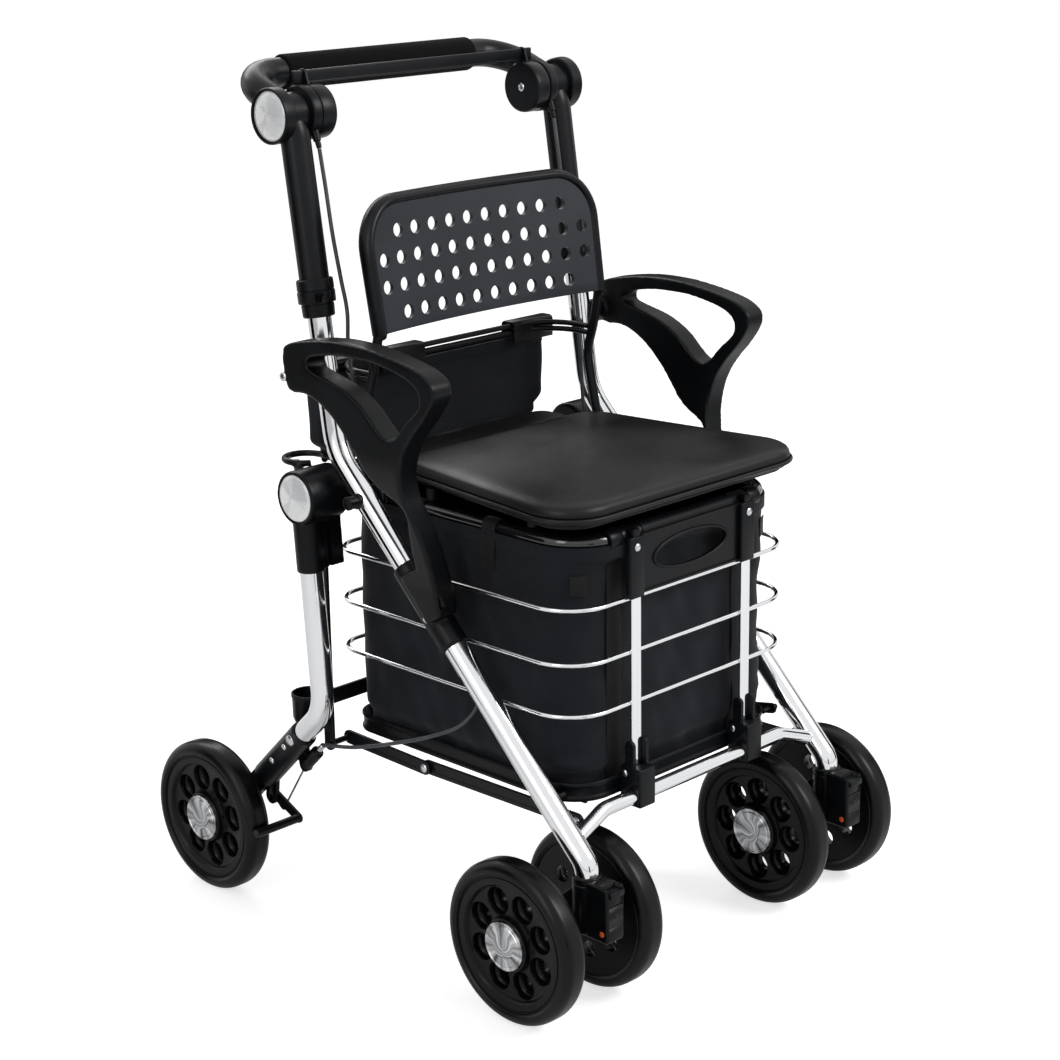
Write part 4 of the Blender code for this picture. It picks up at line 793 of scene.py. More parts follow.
# %% Lines of the side tubes
KNEE = Vector((0.075, 0.532))
LEAN = math.radians(8.2)
LEG_X, REAR_LEG_X, LEG_R = 0.195, 0.222, 0.0127
SWIVEL_Y = -0.287
FOOT = Vector((SWIVEL_Y, 0.1655))
CROSS = (-0.2609, 0.2019)
FOLD = Vector((0.100, 0.484))
AXLE = Vector((AXLE_Y, WHEEL_R))
REAR_KNEE = Vector((0.083, 0.243))


def up_tube(run):
    """A place (y, z) on the straight upper stretch, so far above the knee."""
    return KNEE + Vector((math.sin(LEAN), math.cos(LEAN))) * run


def down_tube(z):
    """How far forward the sloping stretch is at a height."""
    return KNEE.x - (KNEE.y - z) * (KNEE.x - FOOT.x) / (KNEE.y - FOOT.y)


def at(x, place):
    return Vector((x, place[0], place[1]))


# %% Side tubes, cross tube and rear legs
for side, name in sides():
    x = side * LEG_X
    line = [at(x, up_tube(0.305)), at(x, KNEE), at(x, FOOT), (x, SWIVEL_Y, 0.1558)]
    line = round_bends(line, [0.075, 0.023], 4)
    dress(tube(f"{name}_side_tube", line, LEG_R, 8), "frame", chrome, f"{name}_front_leg")
    knob_at = (down_tube(0.488), 0.488)
    out = LEG_X + LEG_R
    knob = [(-0.004, 0), (-0.004, 0.0085), (0.0015, 0.0085), (0.0022, 0.0070), (0.0100, 0.0068)]
    knob += [
        (0.0105, 0.0074), (0.0132, 0.0074), (0.0140, 0.0066), (0.0140, 0.0045), (0.0128, 0.0040), (0.0128, 0)
    ]
    knob = turned(f"{name}_bolt_knob", knob, at(side * out, knob_at), (side, 0, 0), 36, 28)
    dress(knob, "frame", plastic)

    down = (REAR_KNEE - FOLD).normalized()
    along = (AXLE - REAR_KNEE).normalized()
    x = side * REAR_LEG_X
    line = [at(x, FOLD + down * 0.036), at(x, REAR_KNEE), at(x, REAR_KNEE + along * 0.135)]
    leg = tube(f"{name}_rear_tube", round_bends(line, [0.050], 4), LEG_R, 8)
    dress(leg, "rear_legs", chrome, f"{name}_rear_leg")

ends = down_tube(0.186)
line = [(-0.1874, ends, 0.186), (-0.1423, *CROSS), (0.1423, *CROSS), (0.1874, ends, 0.186)]
cross_tube = tube("bowed_cross_tube", round_bends(line, [0.032, 0.032], 4), 0.008, 7)
dress(cross_tube, "frame", chrome, "front_cross_tube")

# %% [markdown]
# # The push handle
# A bent tube of 32 mm slides over the two chromed tubes. The middle carries a foam grip that ends in a
# rounded lip. Below, a stepped clamp ring on each side has a slit and a small window for its lock.

# %% Handle, grip and clamp rings
COLLAR_TOP, COLLAR_HIGH, GRIP_LONG = 0.1856, 0.0403, 0.276
BAR = Vector((0.212, 0.919))
HUB = Vector((0.134, 0.8843))
SHOULDER = up_tube(0.357)
line = [at(-LEG_X, up_tube(COLLAR_TOP)), at(-LEG_X, SHOULDER), at(-LEG_X, BAR)]
line += [at(LEG_X, BAR), at(LEG_X, SHOULDER), at(LEG_X, up_tube(COLLAR_TOP))]
HANDLE_LINE = round_bends(line, [0.045] * 4, 4)
dress(tube("bent_handle", HANDLE_LINE, 0.016, 9), "handle", powder, "push_handle")

lip = arc((0.003, 0.0160), 0.003, 180, 90, 4)
profile = [(0.0, 0.0155)] + lip
profile += [(GRIP_LONG - along, away) for along, away in reversed(lip)] + [(GRIP_LONG, 0.0155)]
grip = turned("foam_grip", profile, (-GRIP_LONG / 2, *BAR), (1, 0, 0), 64, 40, closed=True)
dress(grip, "handle", foam, "handle_grip")

for side, name in sides():
    foot = at(side * LEG_X, up_tube(COLLAR_TOP - COLLAR_HIGH))
    way = Vector((0, math.sin(LEAN), math.cos(LEAN)))
    profile = [(0.0, 0.0130), (0.0, 0.0160), (0.0012, 0.0172), (0.0130, 0.0176), (0.0136, 0.0170)]
    profile += [(0.0146, 0.0170), (0.0150, 0.0198), (0.0162, 0.0202), (0.0270, 0.0202), (0.0276, 0.0192)]
    profile += [(0.0284, 0.0192), (0.0290, 0.0198), (0.0390, 0.0196)]
    profile += [(COLLAR_HIGH, 0.0184), (COLLAR_HIGH, 0.0130)]
    ring = turned(f"{name}_clamp_ring", profile, foot, way, 64, 28, closed=True)
    window = foot + way * 0.022 + Vector((side * 0.010, -0.0165, 0))
    reach = Vector((0.004, 0.004, 0.0035))
    carved(ring, block("window", window - reach, window + reach, 0.0006))
    slit = foot + way * 0.034 + Vector((side * -0.002, -0.020, 0))
    reach = Vector((0.0008, 0.006, 0.008))
    carved(ring, block("slit", slit - reach, slit + reach, 0.0002))
    dress(ring, "handle", plastic, f"{name}_handle_collar")

# %% [markdown]
# ## Brake housings and squeeze bar
# On each shoulder of the handle sits a round housing with a reflector in its outer face. Its inner half
# turns with the flat bar below the grip, which pulls both cables when it is squeezed. The bar is a
# folded steel strip with rounded edges; an arm at each end goes down to the hub.

# %% Housings, squeeze bar and lenses
def reflector(name, centre, outward, radius, body, solid):
    profile = [(0.0, 0.0), (0.0, radius), (0.0016, radius), (0.0026, radius - 0.0008), (0.0038, radius * 0.8)]
    profile += [(0.0046, radius * 0.5), (0.0050, radius * 0.25), (0.0051, 0.0)]
    piece = turned(name, profile, centre, (outward, 0, 0), 72, 40)
    return dress(polar_map(piece, centre, (outward, 0, 0)), body, lens, solid)


bar_pieces = []
for side, name in sides():
    profile = [
        (0.0, 0.0), (0.0, 0.0281), (0.0010, 0.0290), (0.0095, 0.0290), (0.0115, 0.0280), (0.0125, 0.0225)
    ]
    profile += [
        (0.0340, 0.0225), (0.0350, 0.0276), (0.0365, 0.0290), (0.0470, 0.0295), (0.0495, 0.0292),
        (0.0503, 0.0284),
    ]
    profile += [(0.0503, 0.0274), (0.0490, 0.0270), (0.0455, 0.0268), (0.0455, 0.0)]
    housing = turned(f"{name}_round_housing", profile, (side * 0.1702, *HUB), (side, 0, 0), 80, 30)
    gland = [
        (-0.0010, 0.0), (-0.0010, 0.0026), (0.0020, 0.0030), (0.0060, 0.0030), (0.0070, 0.0042),
        (0.0260, 0.0050),
    ]
    gland = turned("gland", gland + [(0.0260, 0)], (side * 0.1755, 0.108, 0.8505), (0, 0.35, 0.93), 28)
    dress(joined(f"{name}_round_housing", housing, gland), "handle", plastic, f"{name}_brake_housing")
    reflector(
        f"{name}_handle_lens", (side * 0.2160, *HUB), side, 0.0262, "handle", f"{name}_handle_reflector"
    )

    profile = [(0.0, 0.0), (0.0, 0.0268), (0.0012, 0.0282), (0.0030, 0.0285), (0.0170, 0.0285)]
    profile += [(0.0190, 0.0278), (0.0190, 0.0)]
    disc = turned("disc", profile, (side * 0.1497, *HUB), (side, 0, 0), 72, 30)
    hub_plate = plate(
        "arm", [stadium(HUB, (0.146, 0.9215), 0.0068)], 0.0026, (side * 0.1625, 0, 0), edge=0.0006
    )
    bar_pieces += [disc, hub_plate]
    screw = rivet(f"{name}_lever_screw", (side * 0.1497, *HUB), (-side, 0, 0), 0.0046, 0.0016)
    dress(screw, "brake_bar", plating)
strip = block("strip", (-0.1763, 0.1435, 0.9127), (0.1763, 0.1480, 0.9267), 0.0012, 3)
lip_low = block("lip", (-0.1600, 0.1430, 0.9127), (0.1600, 0.1490, 0.9150), 0.0009, 3)
squeeze = joined("squeeze_bar", strip, lip_low, *bar_pieces)
dress(squeeze, "brake_bar", powder, "brake_bar")
print("handle done")

# %% [markdown]
# # Armrests
# Each armrest is one thick moulding: a closed loop for the hand, an arched strut and a sleeve round the
# side tube. Its edges are very soft. So the outline is given its thickness, bent to the tube, joined
# to the sleeve, then turned into an even skin of small faces that is smoothed until the edges are round.

# %% Armrests
ARM_RUN = ((-0.0761, 0.4387), (-0.0764, 0.4587), (-0.0795, 0.4794), (-0.0838, 0.4973), (-0.0805, 0.5087))
ARM_RUN += ((-0.0699, 0.5163), (-0.0529, 0.5240), (-0.0389, 0.5338), (-0.0281, 0.5458), (-0.0072, 0.5716))
ARM_RUN += (
    (0.0150, 0.5912), (0.0303, 0.6002), (0.0439, 0.6060), (0.0577, 0.6080), (0.0740, 0.6075),
    (0.0820, 0.6110),
)
ARM_RUN += (
    (0.0867, 0.6226), (0.0887, 0.6396), (0.0870, 0.6525), (0.0780, 0.6587), (0.0581, 0.6634),
    (0.0261, 0.6682),
)
ARM_RUN += ((-0.0052, 0.6704), (-0.0356, 0.6697), (-0.0655, 0.6668), (-0.0948, 0.6622), (-0.1199, 0.6563))
ARM_RUN += ((-0.1354, 0.6480), (-0.1407, 0.6375), (-0.1366, 0.6248), (-0.1236, 0.6067), (-0.1060, 0.5870))
ARM_RUN += ((-0.0927, 0.5676), (-0.0862, 0.5496), (-0.0840, 0.5345), (-0.0853, 0.5200), (-0.0895, 0.5045))
ARM_RUN += ((-0.0940, 0.4854), (-0.0965, 0.4631), (-0.0985, 0.4323), (-0.1032, 0.4031))
ARM_TOE = ((-0.1040, 0.3920), (-0.0840, 0.3800), (-0.0460, 0.4240))
ARM_HOLE = (
    (0.0480, 0.6349), (0.0285, 0.6300), (0.0091, 0.6258), (-0.0099, 0.6195), (-0.0286, 0.6099),
    (-0.0432, 0.5985),
)
ARM_HOLE += ((-0.0540, 0.5882), (-0.0631, 0.5819), (-0.0724, 0.5796), (-0.0819, 0.5838), (-0.0917, 0.5943))
ARM_HOLE += ((-0.1032, 0.6059), (-0.1146, 0.6158), (-0.1194, 0.6254), (-0.1183, 0.6340), (-0.1103, 0.6419))
ARM_HOLE += ((-0.0941, 0.6483), (-0.0722, 0.6529), (-0.0500, 0.6560), (-0.0235, 0.6568), (0.0035, 0.6555))
ARM_HOLE += ((0.0271, 0.6520), (0.0443, 0.6480), (0.0511, 0.6418))


def arm_place(z):
    """How far out an armrest stands at a height."""
    share = min(1.0, max(0.0, (z - 0.400) / 0.160))
    return 0.206 + 0.034 * share * share * (3 - 2 * share)


def flowing(points):
    """A smooth outline through the points (y, z)."""
    return [(place.x, place.y) for place in smooth_line([(y, z, 0) for y, z in points], 3)]


ARM_OUTLINE = flowing(ARM_RUN) + list(ARM_TOE)
ARM_OPENING = flowing(ARM_HOLE + ARM_HOLE[:1])[:-1]
voxel = 0.0015
for side, name in sides():
    arm = plate("arm", [ARM_OUTLINE, ARM_OPENING], 0.027)
    sliced(arm, (0, 0, 1), [0.560] + [0.400 + 0.020 * step for step in range(1, 8)])
    for vertex in arm.data.vertices:
        vertex.co.x += side * arm_place(vertex.co.z)
    top = at(side * LEG_X, (down_tube(0.427), 0.427))
    low = at(side * LEG_X, (down_tube(0.353), 0.353))
    sleeve = peg("sleeve", top, low, 0.0160, 0.0015, 48)
    block_at = at(side * 0.2205, up_tube(0.091))
    boss = peg(
        "boss", block_at - Vector((side * 0.0125, 0, 0)), block_at + Vector((side * 0.010, 0, 0)), 0.0135,
        0.002, 36,
    )
    arm = joined(f"{name}_armrest_moulding", arm, sleeve, boss)
    applied(arm, "REMESH", mode="VOXEL", voxel_size=voxel)
    applied(arm, "SMOOTH", factor=0.5, iterations=14)
    channel = [at(side * 0.2410, (-0.1095, 0.540)), at(side * 0.2340, (-0.1070, 0.500))]
    channel += [at(side * 0.2240, (-0.1060, 0.450)), at(side * 0.2130, (-0.1060, 0.400))]
    carved(arm, tube("channel", smooth_line(channel, 8), 0.0050, 4))
    carved(arm, peg("bore", top + (top - low), low - (top - low), LEG_R + 0.0001, 0.0002, 40))
    dress(shade(arm, 50), "frame", plastic, f"{name}_armrest")
    print(arm.name, len(arm.data.polygons), "faces")
    cap = rivet(f"{name}_armrest_bolt", at(side * 0.2535, up_tube(0.091)), (side, 0, 0), 0.0052, 0.0022)
    dress(cap, "frame", plating)
    pin_at = at(side * LEG_X, (-0.0745, 0.3815)) + Vector((side * 0.0156, 0, 0))
    dress(rivet(f"{name}_sleeve_rivet", pin_at, (side, 0, 0), 0.0042, 0.0016), "frame", plating)

# %% [markdown]
# # Backrest
# A flattened tube with round corners runs over the top and down both sides, and stands on two posts
# that two thin rods join at the back. Inside the tube sits a plate, moulded to curve round the user's
# back, with four rows of round holes. The edge of each hole is softened, as a moulding tool leaves it.

# %% Backrest
ROWS = ((0.7633, 10), (0.7351, 12), (0.7070, 12), (0.6783, 10))


def back_at(x, z):
    return 0.0491 + 0.161 * (z - 0.707) - 0.483 * x * x


def filled_in(starts, ends, gap):
    """The points of an outline, with more set between them, about gap apart."""
    made = []
    for (x0, z0), (x1, z1) in zip(starts, ends):
        steps = max(1, round(math.hypot(x1 - x0, z1 - z0) / gap))
        made += [(x0 + (x1 - x0) * i / steps, z0 + (z1 - z0) * i / steps) for i in range(steps)]
    return made


rim_corners = [(0.1668, 0.6600), (0.1703, 0.7947), (-0.1703, 0.7947), (-0.1668, 0.6600)]
top_edge = outline_of(rim_corners, [0.0005, 0.050, 0.050, 0.0005])
filled = filled_in(top_edge, top_edge[1:], 0.012) + top_edge[-1:]
hoop = [Vector((x, back_at(x, z), z)) for x, z in filled]


def post_line(side):
    near = [
        (0.1668, 0.0310, 0.672), (0.1683, 0.0345, 0.654), (0.1690, 0.0425, 0.6185), (0.1690, 0.0502, 0.592)
    ]
    near += [(0.1690, 0.0495, 0.571), (0.1690, 0.0370, 0.511), (0.1690, 0.0300, 0.4790)]
    return smooth_line([(side * x, y, z) for x, y, z in near], 6)


loop = tube("back_loop_tube", hoop, 0.0062, 7)
for vertex in loop.data.vertices:
    middle = back_at(vertex.co.x, vertex.co.z)
    vertex.co.y = middle + 0.0040 + 1.6 * (vertex.co.y - middle)
wires = [tube("post", post_line(side), 0.0053, 6) for side in (-1, 1)]
for height in (0.6160, 0.6085):
    line = [(-0.168, 0.049, height), (-0.168, 0.117, height), (0.168, 0.117, height), (0.168, 0.049, height)]
    wires.append(tube("wire", round_bends(line, [0.050, 0.050]), 0.0031, 5))
dress(joined("back_loop_tube", loop, *wires), "frame", powder, "backrest_frame")

corner = outline_of(
    [(0.1673, 0.6610), (0.1701, 0.7945), (-0.1701, 0.7945), (-0.1673, 0.6610)], [0.003, 0.050, 0.050, 0.003]
)
dense = filled_in(corner, corner[1:] + corner[:1], 0.008)
holes = []
for height, count in ROWS:
    for index in range(count):
        middle = (index - (count - 1) / 2) * 0.0271
        holes.append(arc((middle, height), 0.0074, 0, 345, 23))
panel = plate(
    "perforated_panel", [dense] + holes, 0.0050, (0, 0, 0), (1, 0, 0), (0, 0, 1), edge=0.0009, rounds=2
)
sliced(panel, (1, 0, 0), [step * 0.0101 for step in range(-17, 18)])
for vertex in panel.data.vertices:
    vertex.co.y += back_at(vertex.co.x, vertex.co.z)
dress(shade(panel, 35), "frame", back_plastic_painted_sheen, "backrest_panel")
print("backrest holes:", len(holes))

# %% [markdown]
# # Seat
# The seat is a board with thin foam under artificial leather. It is lofted ring by ring from its
# underside to its crown. Its edge is closed with a round piping and a row of stitches above it.

# %% Seat cushion
def seat_plan(inset=0.0):
    corners = [(-0.193 + inset, -0.262 + inset), (0.193 - inset, -0.262 + inset)]
    corners += [(0.152 - inset, 0.033 - inset), (-0.152 + inset, 0.033 - inset)]
    radii = [max(0.004, radius - inset) for radius in (0.050, 0.050, 0.035, 0.035)]
    return outline_of(corners, radii, 6)


def spread(outline, gap):
    """The outline with points set evenly, about gap apart."""
    points = [Vector((x, y, 0)) for x, y in outline]
    lengths = [0.0]
    for a, b in zip(points, points[1:] + points[:1]):
        lengths.append(lengths[-1] + (b - a).length)
    count = max(8, round(lengths[-1] / gap))
    made, index = [], 0
    for number in range(count):
        target = lengths[-1] * number / count
        while lengths[index + 1] < target:
            index += 1
        share = (target - lengths[index]) / max(1e-9, lengths[index + 1] - lengths[index])
        place = points[index].lerp(points[(index + 1) % len(points)], share)
        made.append((place.x, place.y))
    return made, lengths[-1]


def loft(name, rings, close_low=True, close_high=True):
    """A skin over rings of equally many points, from the lowest ring up."""
    count = len(rings[0])
    places = [tuple(point) for ring in rings for point in ring]
    faces = []
    for level in range(len(rings) - 1):
        for index in range(count):
            following = (index + 1) % count
            a, b = level * count + index, level * count + following
            faces.append((a, b, b + count, a + count))
    if close_low:
        faces.append(tuple(reversed(range(count))))
    if close_high:
        faces.append(tuple(range(len(places) - count, len(places))))
    return clean(mesh_piece(name, places, faces), angle=60)


SEAT_MIDDLE = -0.1145
STITCH_Z = 0.5152
plan, _ = spread(seat_plan(), 0.006)
centre = Vector((0.0, SEAT_MIDDLE))


def seat_ring(inset, z):
    """A ring drawn in from the edge by so many metres, at a height, or at a crowned height."""
    ring = []
    for x, y in plan:
        arm = Vector((x, y)) - centre
        short = arm * (1 - inset / arm.length)
        place = centre + short
        ring.append((place.x, place.y, z(place.x, place.y) if callable(z) else z))
    return ring


def crown(x, y):
    """The top: a little higher in the middle, with the faint waves of stretched leather."""
    side = max(0.0, 1 - (x / 0.20) ** 2) * max(0.0, 1 - ((y - SEAT_MIDDLE) / 0.16) ** 2)
    wave = 0.00035 * math.sin(38 * x + 21 * y) + 0.00025 * math.sin(-29 * x + 47 * y + 1.3)
    return 0.5258 + 0.0022 * side + wave


rings = [
    seat_ring(0.0090, 0.5053), seat_ring(0.0045, 0.5056), seat_ring(0.0028, 0.5075),
    seat_ring(0.0022, 0.5100),
]
rings += [
    seat_ring(0.0018, 0.5130), seat_ring(0.0010, 0.5160), seat_ring(0.0016, 0.5195),
    seat_ring(0.0036, 0.5224),
]
rings += [seat_ring(0.0068, 0.5243), seat_ring(0.0110, 0.5253)]
rings += [seat_ring(inset, crown) for inset in (0.018, 0.028, 0.040, 0.055, 0.070, 0.085, 0.100, 0.115)]
seat = loft("seat_leather", rings)
shade(seat, 70)
dress(seat, "seat", leather, "seat_cushion")

piping = [Vector(place) for place in seat_ring(-0.0002, 0.5112)]
dress(tube("seat_piping", piping, 0.0022, 4, closed=True), "seat", leather)

stitches = []
run, length = spread([(x, y) for x, y, _ in seat_ring(0.0006, 0)], 0.0042)
for here, following in zip(run, run[1:] + run[:1]):
    a, b = Vector((*here, STITCH_Z)), Vector((*following, STITCH_Z))
    stitches.append((a.lerp(b, 0.14), a.lerp(b, 0.86)))
print("seat edge", round(length, 3), "m,", len(stitches), "stitches")


def stitch_row(name, pairs, radius):
    """Threads drawn as short stitches, each a thin six-sided stem with pointed ends."""
    places, faces = [], []
    for a, b in pairs:
        way = (b - a).normalized()
        out = across(way)
        other = way.cross(out)
        base = len(places)
        places.append(tuple(a))
        for share in (0.25, 0.75):
            for corner in range(6):
                turn = math.pi * corner / 3
                arm = (out * math.cos(turn) + other * math.sin(turn)) * radius
                places.append(tuple(a.lerp(b, share) + arm))
        places.append(tuple(b))
        for corner in range(6):
            following = (corner + 1) % 6
            faces.append((base, base + 1 + following, base + 1 + corner))
            faces.append((base + 1 + corner, base + 1 + following, base + 7 + following, base + 7 + corner))
            faces.append((base + 13, base + 7 + corner, base + 7 + following))
    return clean(mesh_piece(name, places, faces), doubles=1e-7)


dress(stitch_row("seat_stitches", stitches, 0.00042), "seat", webbing)

# %% [markdown]
# ## Rear pad and seat tube
# Behind the seat's seam a fixed pad in the same leather runs back to the pouch, between the posts. The
# seat tube is a bent bar in gloss black that carries the bag. Across its back ends lies the rod that the
# rear legs fold on, with a cheek plate on each side.

# %% Rear pad, board and seat tube
def gloss_black():
    made, tree, shader = new_material(
        "gloss_black_enamel", "#111214", 0.16, 0.0, Coat_Weight=0.6, Coat_Roughness=0.06
    )
    where = add_node(tree, "ShaderNodeTexCoord").outputs["Object"]
    cloud = add_node(tree, "ShaderNodeTexNoise", {"Scale": 40.0, "Detail": 3.0}, {"Vector": where})
    tree.links.new(ramp(tree, cloud.outputs[0], 0.3, 0.7, 0.12, 0.22), shader.inputs["Roughness"])
    return made


gloss = gloss_black()

pad_plan = [(-0.150, 0.0395), (0.150, 0.0395), (0.150, 0.1095), (-0.150, 0.1095)]
pad_line, _ = spread(outline_of(pad_plan, [0.014] * 4, 10), 0.005)
pad_mid = Vector((0.0, 0.0745))
pad_levels = [(0.006, 0.4910), (0.0015, 0.4925), (0.0, 0.4960), (0.0, 0.5060), (0.0015, 0.5105)]
pad_levels += [(0.0050, 0.5135), (0.010, 0.5148), (0.018, 0.5156), (0.028, 0.5160)]
rings = []
for inset, z in pad_levels:
    ring = []
    for x, y in pad_line:
        sx = x * (1 - inset / 0.150)
        sy = pad_mid.y + (y - pad_mid.y) * (1 - inset / 0.035)
        dip = 0.0012 * math.cos(41 * x) * (1 if z > 0.51 else 0)
        ring.append((sx, sy, z - max(0.0, dip)))
    rings.append(ring)
pad = loft("rear_pad_leather", rings)
dress(pad, "frame", leather, "seat_rear_pad")

board = plate("seat_underside", [seat_plan(0.011)], 0.0046, (0, 0, 0.5026), (1, 0, 0), (0, 1, 0), edge=0.0010)
feet = []
for side, _ in sides():
    for y in (-0.170, -0.020):
        feet.append(peg("foot", (side * 0.1469, y, 0.4865), (side * 0.1469, y, 0.5010), 0.0062, 0.0008, 24))
dress(joined("seat_underside", board, *feet), "seat", plastic, "seat_board")

TUBE_X, TUBE_FRONT, TUBE_Z = 0.1529, -0.240, 0.478
line = [
    (-TUBE_X, 0.0935, TUBE_Z), (-TUBE_X, TUBE_FRONT, TUBE_Z), (TUBE_X, TUBE_FRONT, TUBE_Z),
    (TUBE_X, 0.0935, TUBE_Z),
]
dress(tube("seat_tube", round_bends(line, [0.050, 0.050], 4), 0.0080, 7), "frame", gloss, "seat_frame")
rod = tube("fold_rod", [Vector((-0.2225, *FOLD)), Vector((0.2225, *FOLD))], 0.0060, 6)
cheeks = []
for side, _ in sides():
    cheek = stadium(FOLD, (down_tube(0.488), 0.488), 0.0128)
    cheeks.append(plate("cheek", [cheek], 0.0046, (side * 0.1795, 0, 0), edge=0.0009))
dress(joined("fold_rod_and_plates", rod, *cheeks), "frame", powder, "fold_axle")

# %% [markdown]
# # Shopping bag
# The bag is sewn from nylon: a wrap of four walls with soft corners and a bottom. It hangs from the seat
# tube inside the wires. Its walls have shallow folds, its front corners are creased, and its foot draws
# in over the tray. The shell is lofted from rings, and every point is pushed in by folds and creases.

# %% Bag shell
BAG_LOW, BAG_HIGH, BAG_WALL = 0.2055, 0.4755, 0.2595
BAG_X, BAG_FRONT, BAG_BACK = 0.1672, -0.2392, 0.0992
CLOTH_THICK = 0.0012
corners = [(-BAG_X, BAG_FRONT), (BAG_X, BAG_FRONT), (BAG_X, BAG_BACK), (-BAG_X, BAG_BACK)]
bag_line, bag_round = spread(outline_of(corners, [0.046, 0.046, 0.030, 0.030], 4), 0.0042)


def swell(x, y, z):
    """How far the cloth lies in from its fullest, in metres: folds, creases and the gathered corners."""
    height = min(1.0, (z - BAG_LOW) / BAG_WALL)
    deep = 0.0012 + 0.0022 * math.sin(math.pi * height) ** 2
    around = math.atan2(y + 0.07, x)
    fold = 0.0010 * math.sin(9 * around + 5 * height) + 0.0007 * math.sin(17 * around - 9 * height + 1.1)
    fold += 0.0005 * math.sin(31 * around + 23 * height + 0.4)
    fold += 0.0016 * (1 + noise.noise(Vector((16 * x, 16 * y, 7 * z))))
    fold += 0.0016 * abs(noise.noise(Vector((30 * x + 12 * z, 30 * y, 14 * z))))
    corner = max(0.0, 1 - abs(abs(x) - 0.150) / 0.045) * max(0.0, 1 - abs(y + 0.222) / 0.06)
    low = max(0.0, 1 - height / 0.30)
    slack = 0.0032 * low * (1 + math.sin(70 * height + 30 * x))
    crease = corner * (slack + 0.0018 * math.sin(14 * height + 2) ** 2)
    top = 0.0015 * max(0.0, (height - 0.86) / 0.14)
    foot = min(1.0, max(0.0, (0.2420 - z) / 0.0170))
    return deep + fold + crease + top + 0.0072 * foot * foot * (3 - 2 * foot)


BAG_MIDDLE = Vector((0.0, -0.070))
HUNG = [(-0.1620, -0.2490), (0.1620, -0.2490), (0.1620, BAG_BACK), (-0.1620, BAG_BACK)]
HUNG = outline_of(HUNG, [0.059, 0.059, 0.030, 0.030], 4)


def reach_of(outline, way):
    """How far an outline lies from the bag's middle in a direction."""
    for a, b in zip(outline, outline[1:] + outline[:1]):
        a, b = Vector(a) - BAG_MIDDLE, Vector(b) - BAG_MIDDLE
        span = b - a
        side = way.x * span.y - way.y * span.x
        if abs(side) > 1e-12:
            share = (a.x * way.y - a.y * way.x) / side
            far = (a.x * span.y - a.y * span.x) / side
            if -1e-6 <= share <= 1 + 1e-6 and far > 0:
                return far
    return 0.0


def bag_spot(x, y, z, extra=0.0):
    """A place of the cloth: pushed in by the swell, and drawn over the seat tube at the top."""
    arm = Vector((x, y)) - BAG_MIDDLE
    far = arm.length - swell(x, y, z)
    rise = min(1.0, max(0.0, (z - 0.4480) / 0.0210))
    rise = rise * rise * (3 - 2 * rise)
    if rise:
        far += rise * (reach_of(HUNG, arm.normalized()) - far)
    place = BAG_MIDDLE + arm.normalized() * (far - extra)
    return Vector((place.x, place.y, z))


def bag_ring(z, extra=0.0):
    return [tuple(bag_spot(x, y, z, extra)) for x, y in bag_line]


def uv_in_metres(piece, line, total):
    """A UV map that runs along the wrap in u and up the cloth in v, both in metres."""
    layer = piece.data.uv_layers.new(name="cloth")
    count = len(line)
    for face in piece.data.polygons:
        spots = [piece.data.vertices[piece.data.loops[loop].vertex_index] for loop in face.loop_indices]
        flat = abs(face.normal.z) > 0.8
        us = [(spot.index % count) / count * total for spot in spots]
        wrapped = max(us) - min(us) > total / 2
        for loop, spot, u in zip(face.loop_indices, spots, us):
            if flat:
                layer.data[loop].uv = (spot.co.x, spot.co.y)
            else:
                layer.data[loop].uv = (u + total if wrapped and u < total / 2 else u, spot.co.z)
    return piece


levels = 46
rings = [
    bag_ring(BAG_LOW, 0.060), bag_ring(BAG_LOW, 0.030), bag_ring(BAG_LOW + 0.0002, 0.010),
    bag_ring(BAG_LOW + 0.0015, 0.0040),
]
rings += [bag_ring(BAG_LOW + 0.005, 0.0012)]
for level in range(1, levels + 1):
    rings.append(bag_ring(BAG_LOW + 0.005 + (BAG_HIGH - BAG_LOW - 0.006) * level / levels))
bag = loft("sewn_bag", rings, close_high=False)
uv_in_metres(bag, bag_line, bag_round)
applied(bag, "SOLIDIFY", thickness=CLOTH_THICK, offset=-1.0)
dress(shade(bag, 70), None, nylon, "shopping_bag")
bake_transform(bag)
print("bag wrap", round(bag_round, 3), "m,", len(bag.data.polygons), "faces")


def ribbon(name, line, width, thick, up=(0, 0, 1), material=webbing):
    """A flat strip of webbing along a line. `up` is the direction of its width."""
    line = [Vector(point) for point in line]
    up = Vector(up).normalized()
    places, faces, runs, run = [], [], [], 0.0
    for index, point in enumerate(line):
        before, after = line[max(0, index - 1)], line[min(len(line) - 1, index + 1)]
        way = (after - before).normalized()
        wide = (up - way * up.dot(way)).normalized()
        places += [tuple(point - wide * width / 2), tuple(point + wide * width / 2)]
        if index:
            run += (point - line[index - 1]).length
        runs.append(run)
    for index in range(len(line) - 1):
        faces.append((2 * index, 2 * index + 2, 2 * index + 3, 2 * index + 1))
    piece = mesh_piece(name, places, faces)
    layer = piece.data.uv_layers.new(name="cloth")
    for face in piece.data.polygons:
        for loop in face.loop_indices:
            vertex = piece.data.loops[loop].vertex_index
            layer.data[loop].uv = (runs[vertex // 2], width * (vertex % 2))
    applied(piece, "SOLIDIFY", thickness=thick, offset=0.0)
    applied(piece, "BEVEL", width=thick * 0.3, segments=2, limit_method="ANGLE")
    return dress(clean(piece, angle=40), "frame", material)


def on_bag(x, y, z, out):
    """A place just outside the bag's cloth, on the way out from its middle."""
    best = min(bag_line, key=lambda spot: (Vector(spot) - Vector((x, y))).length)
    return bag_spot(*best, z, -out)


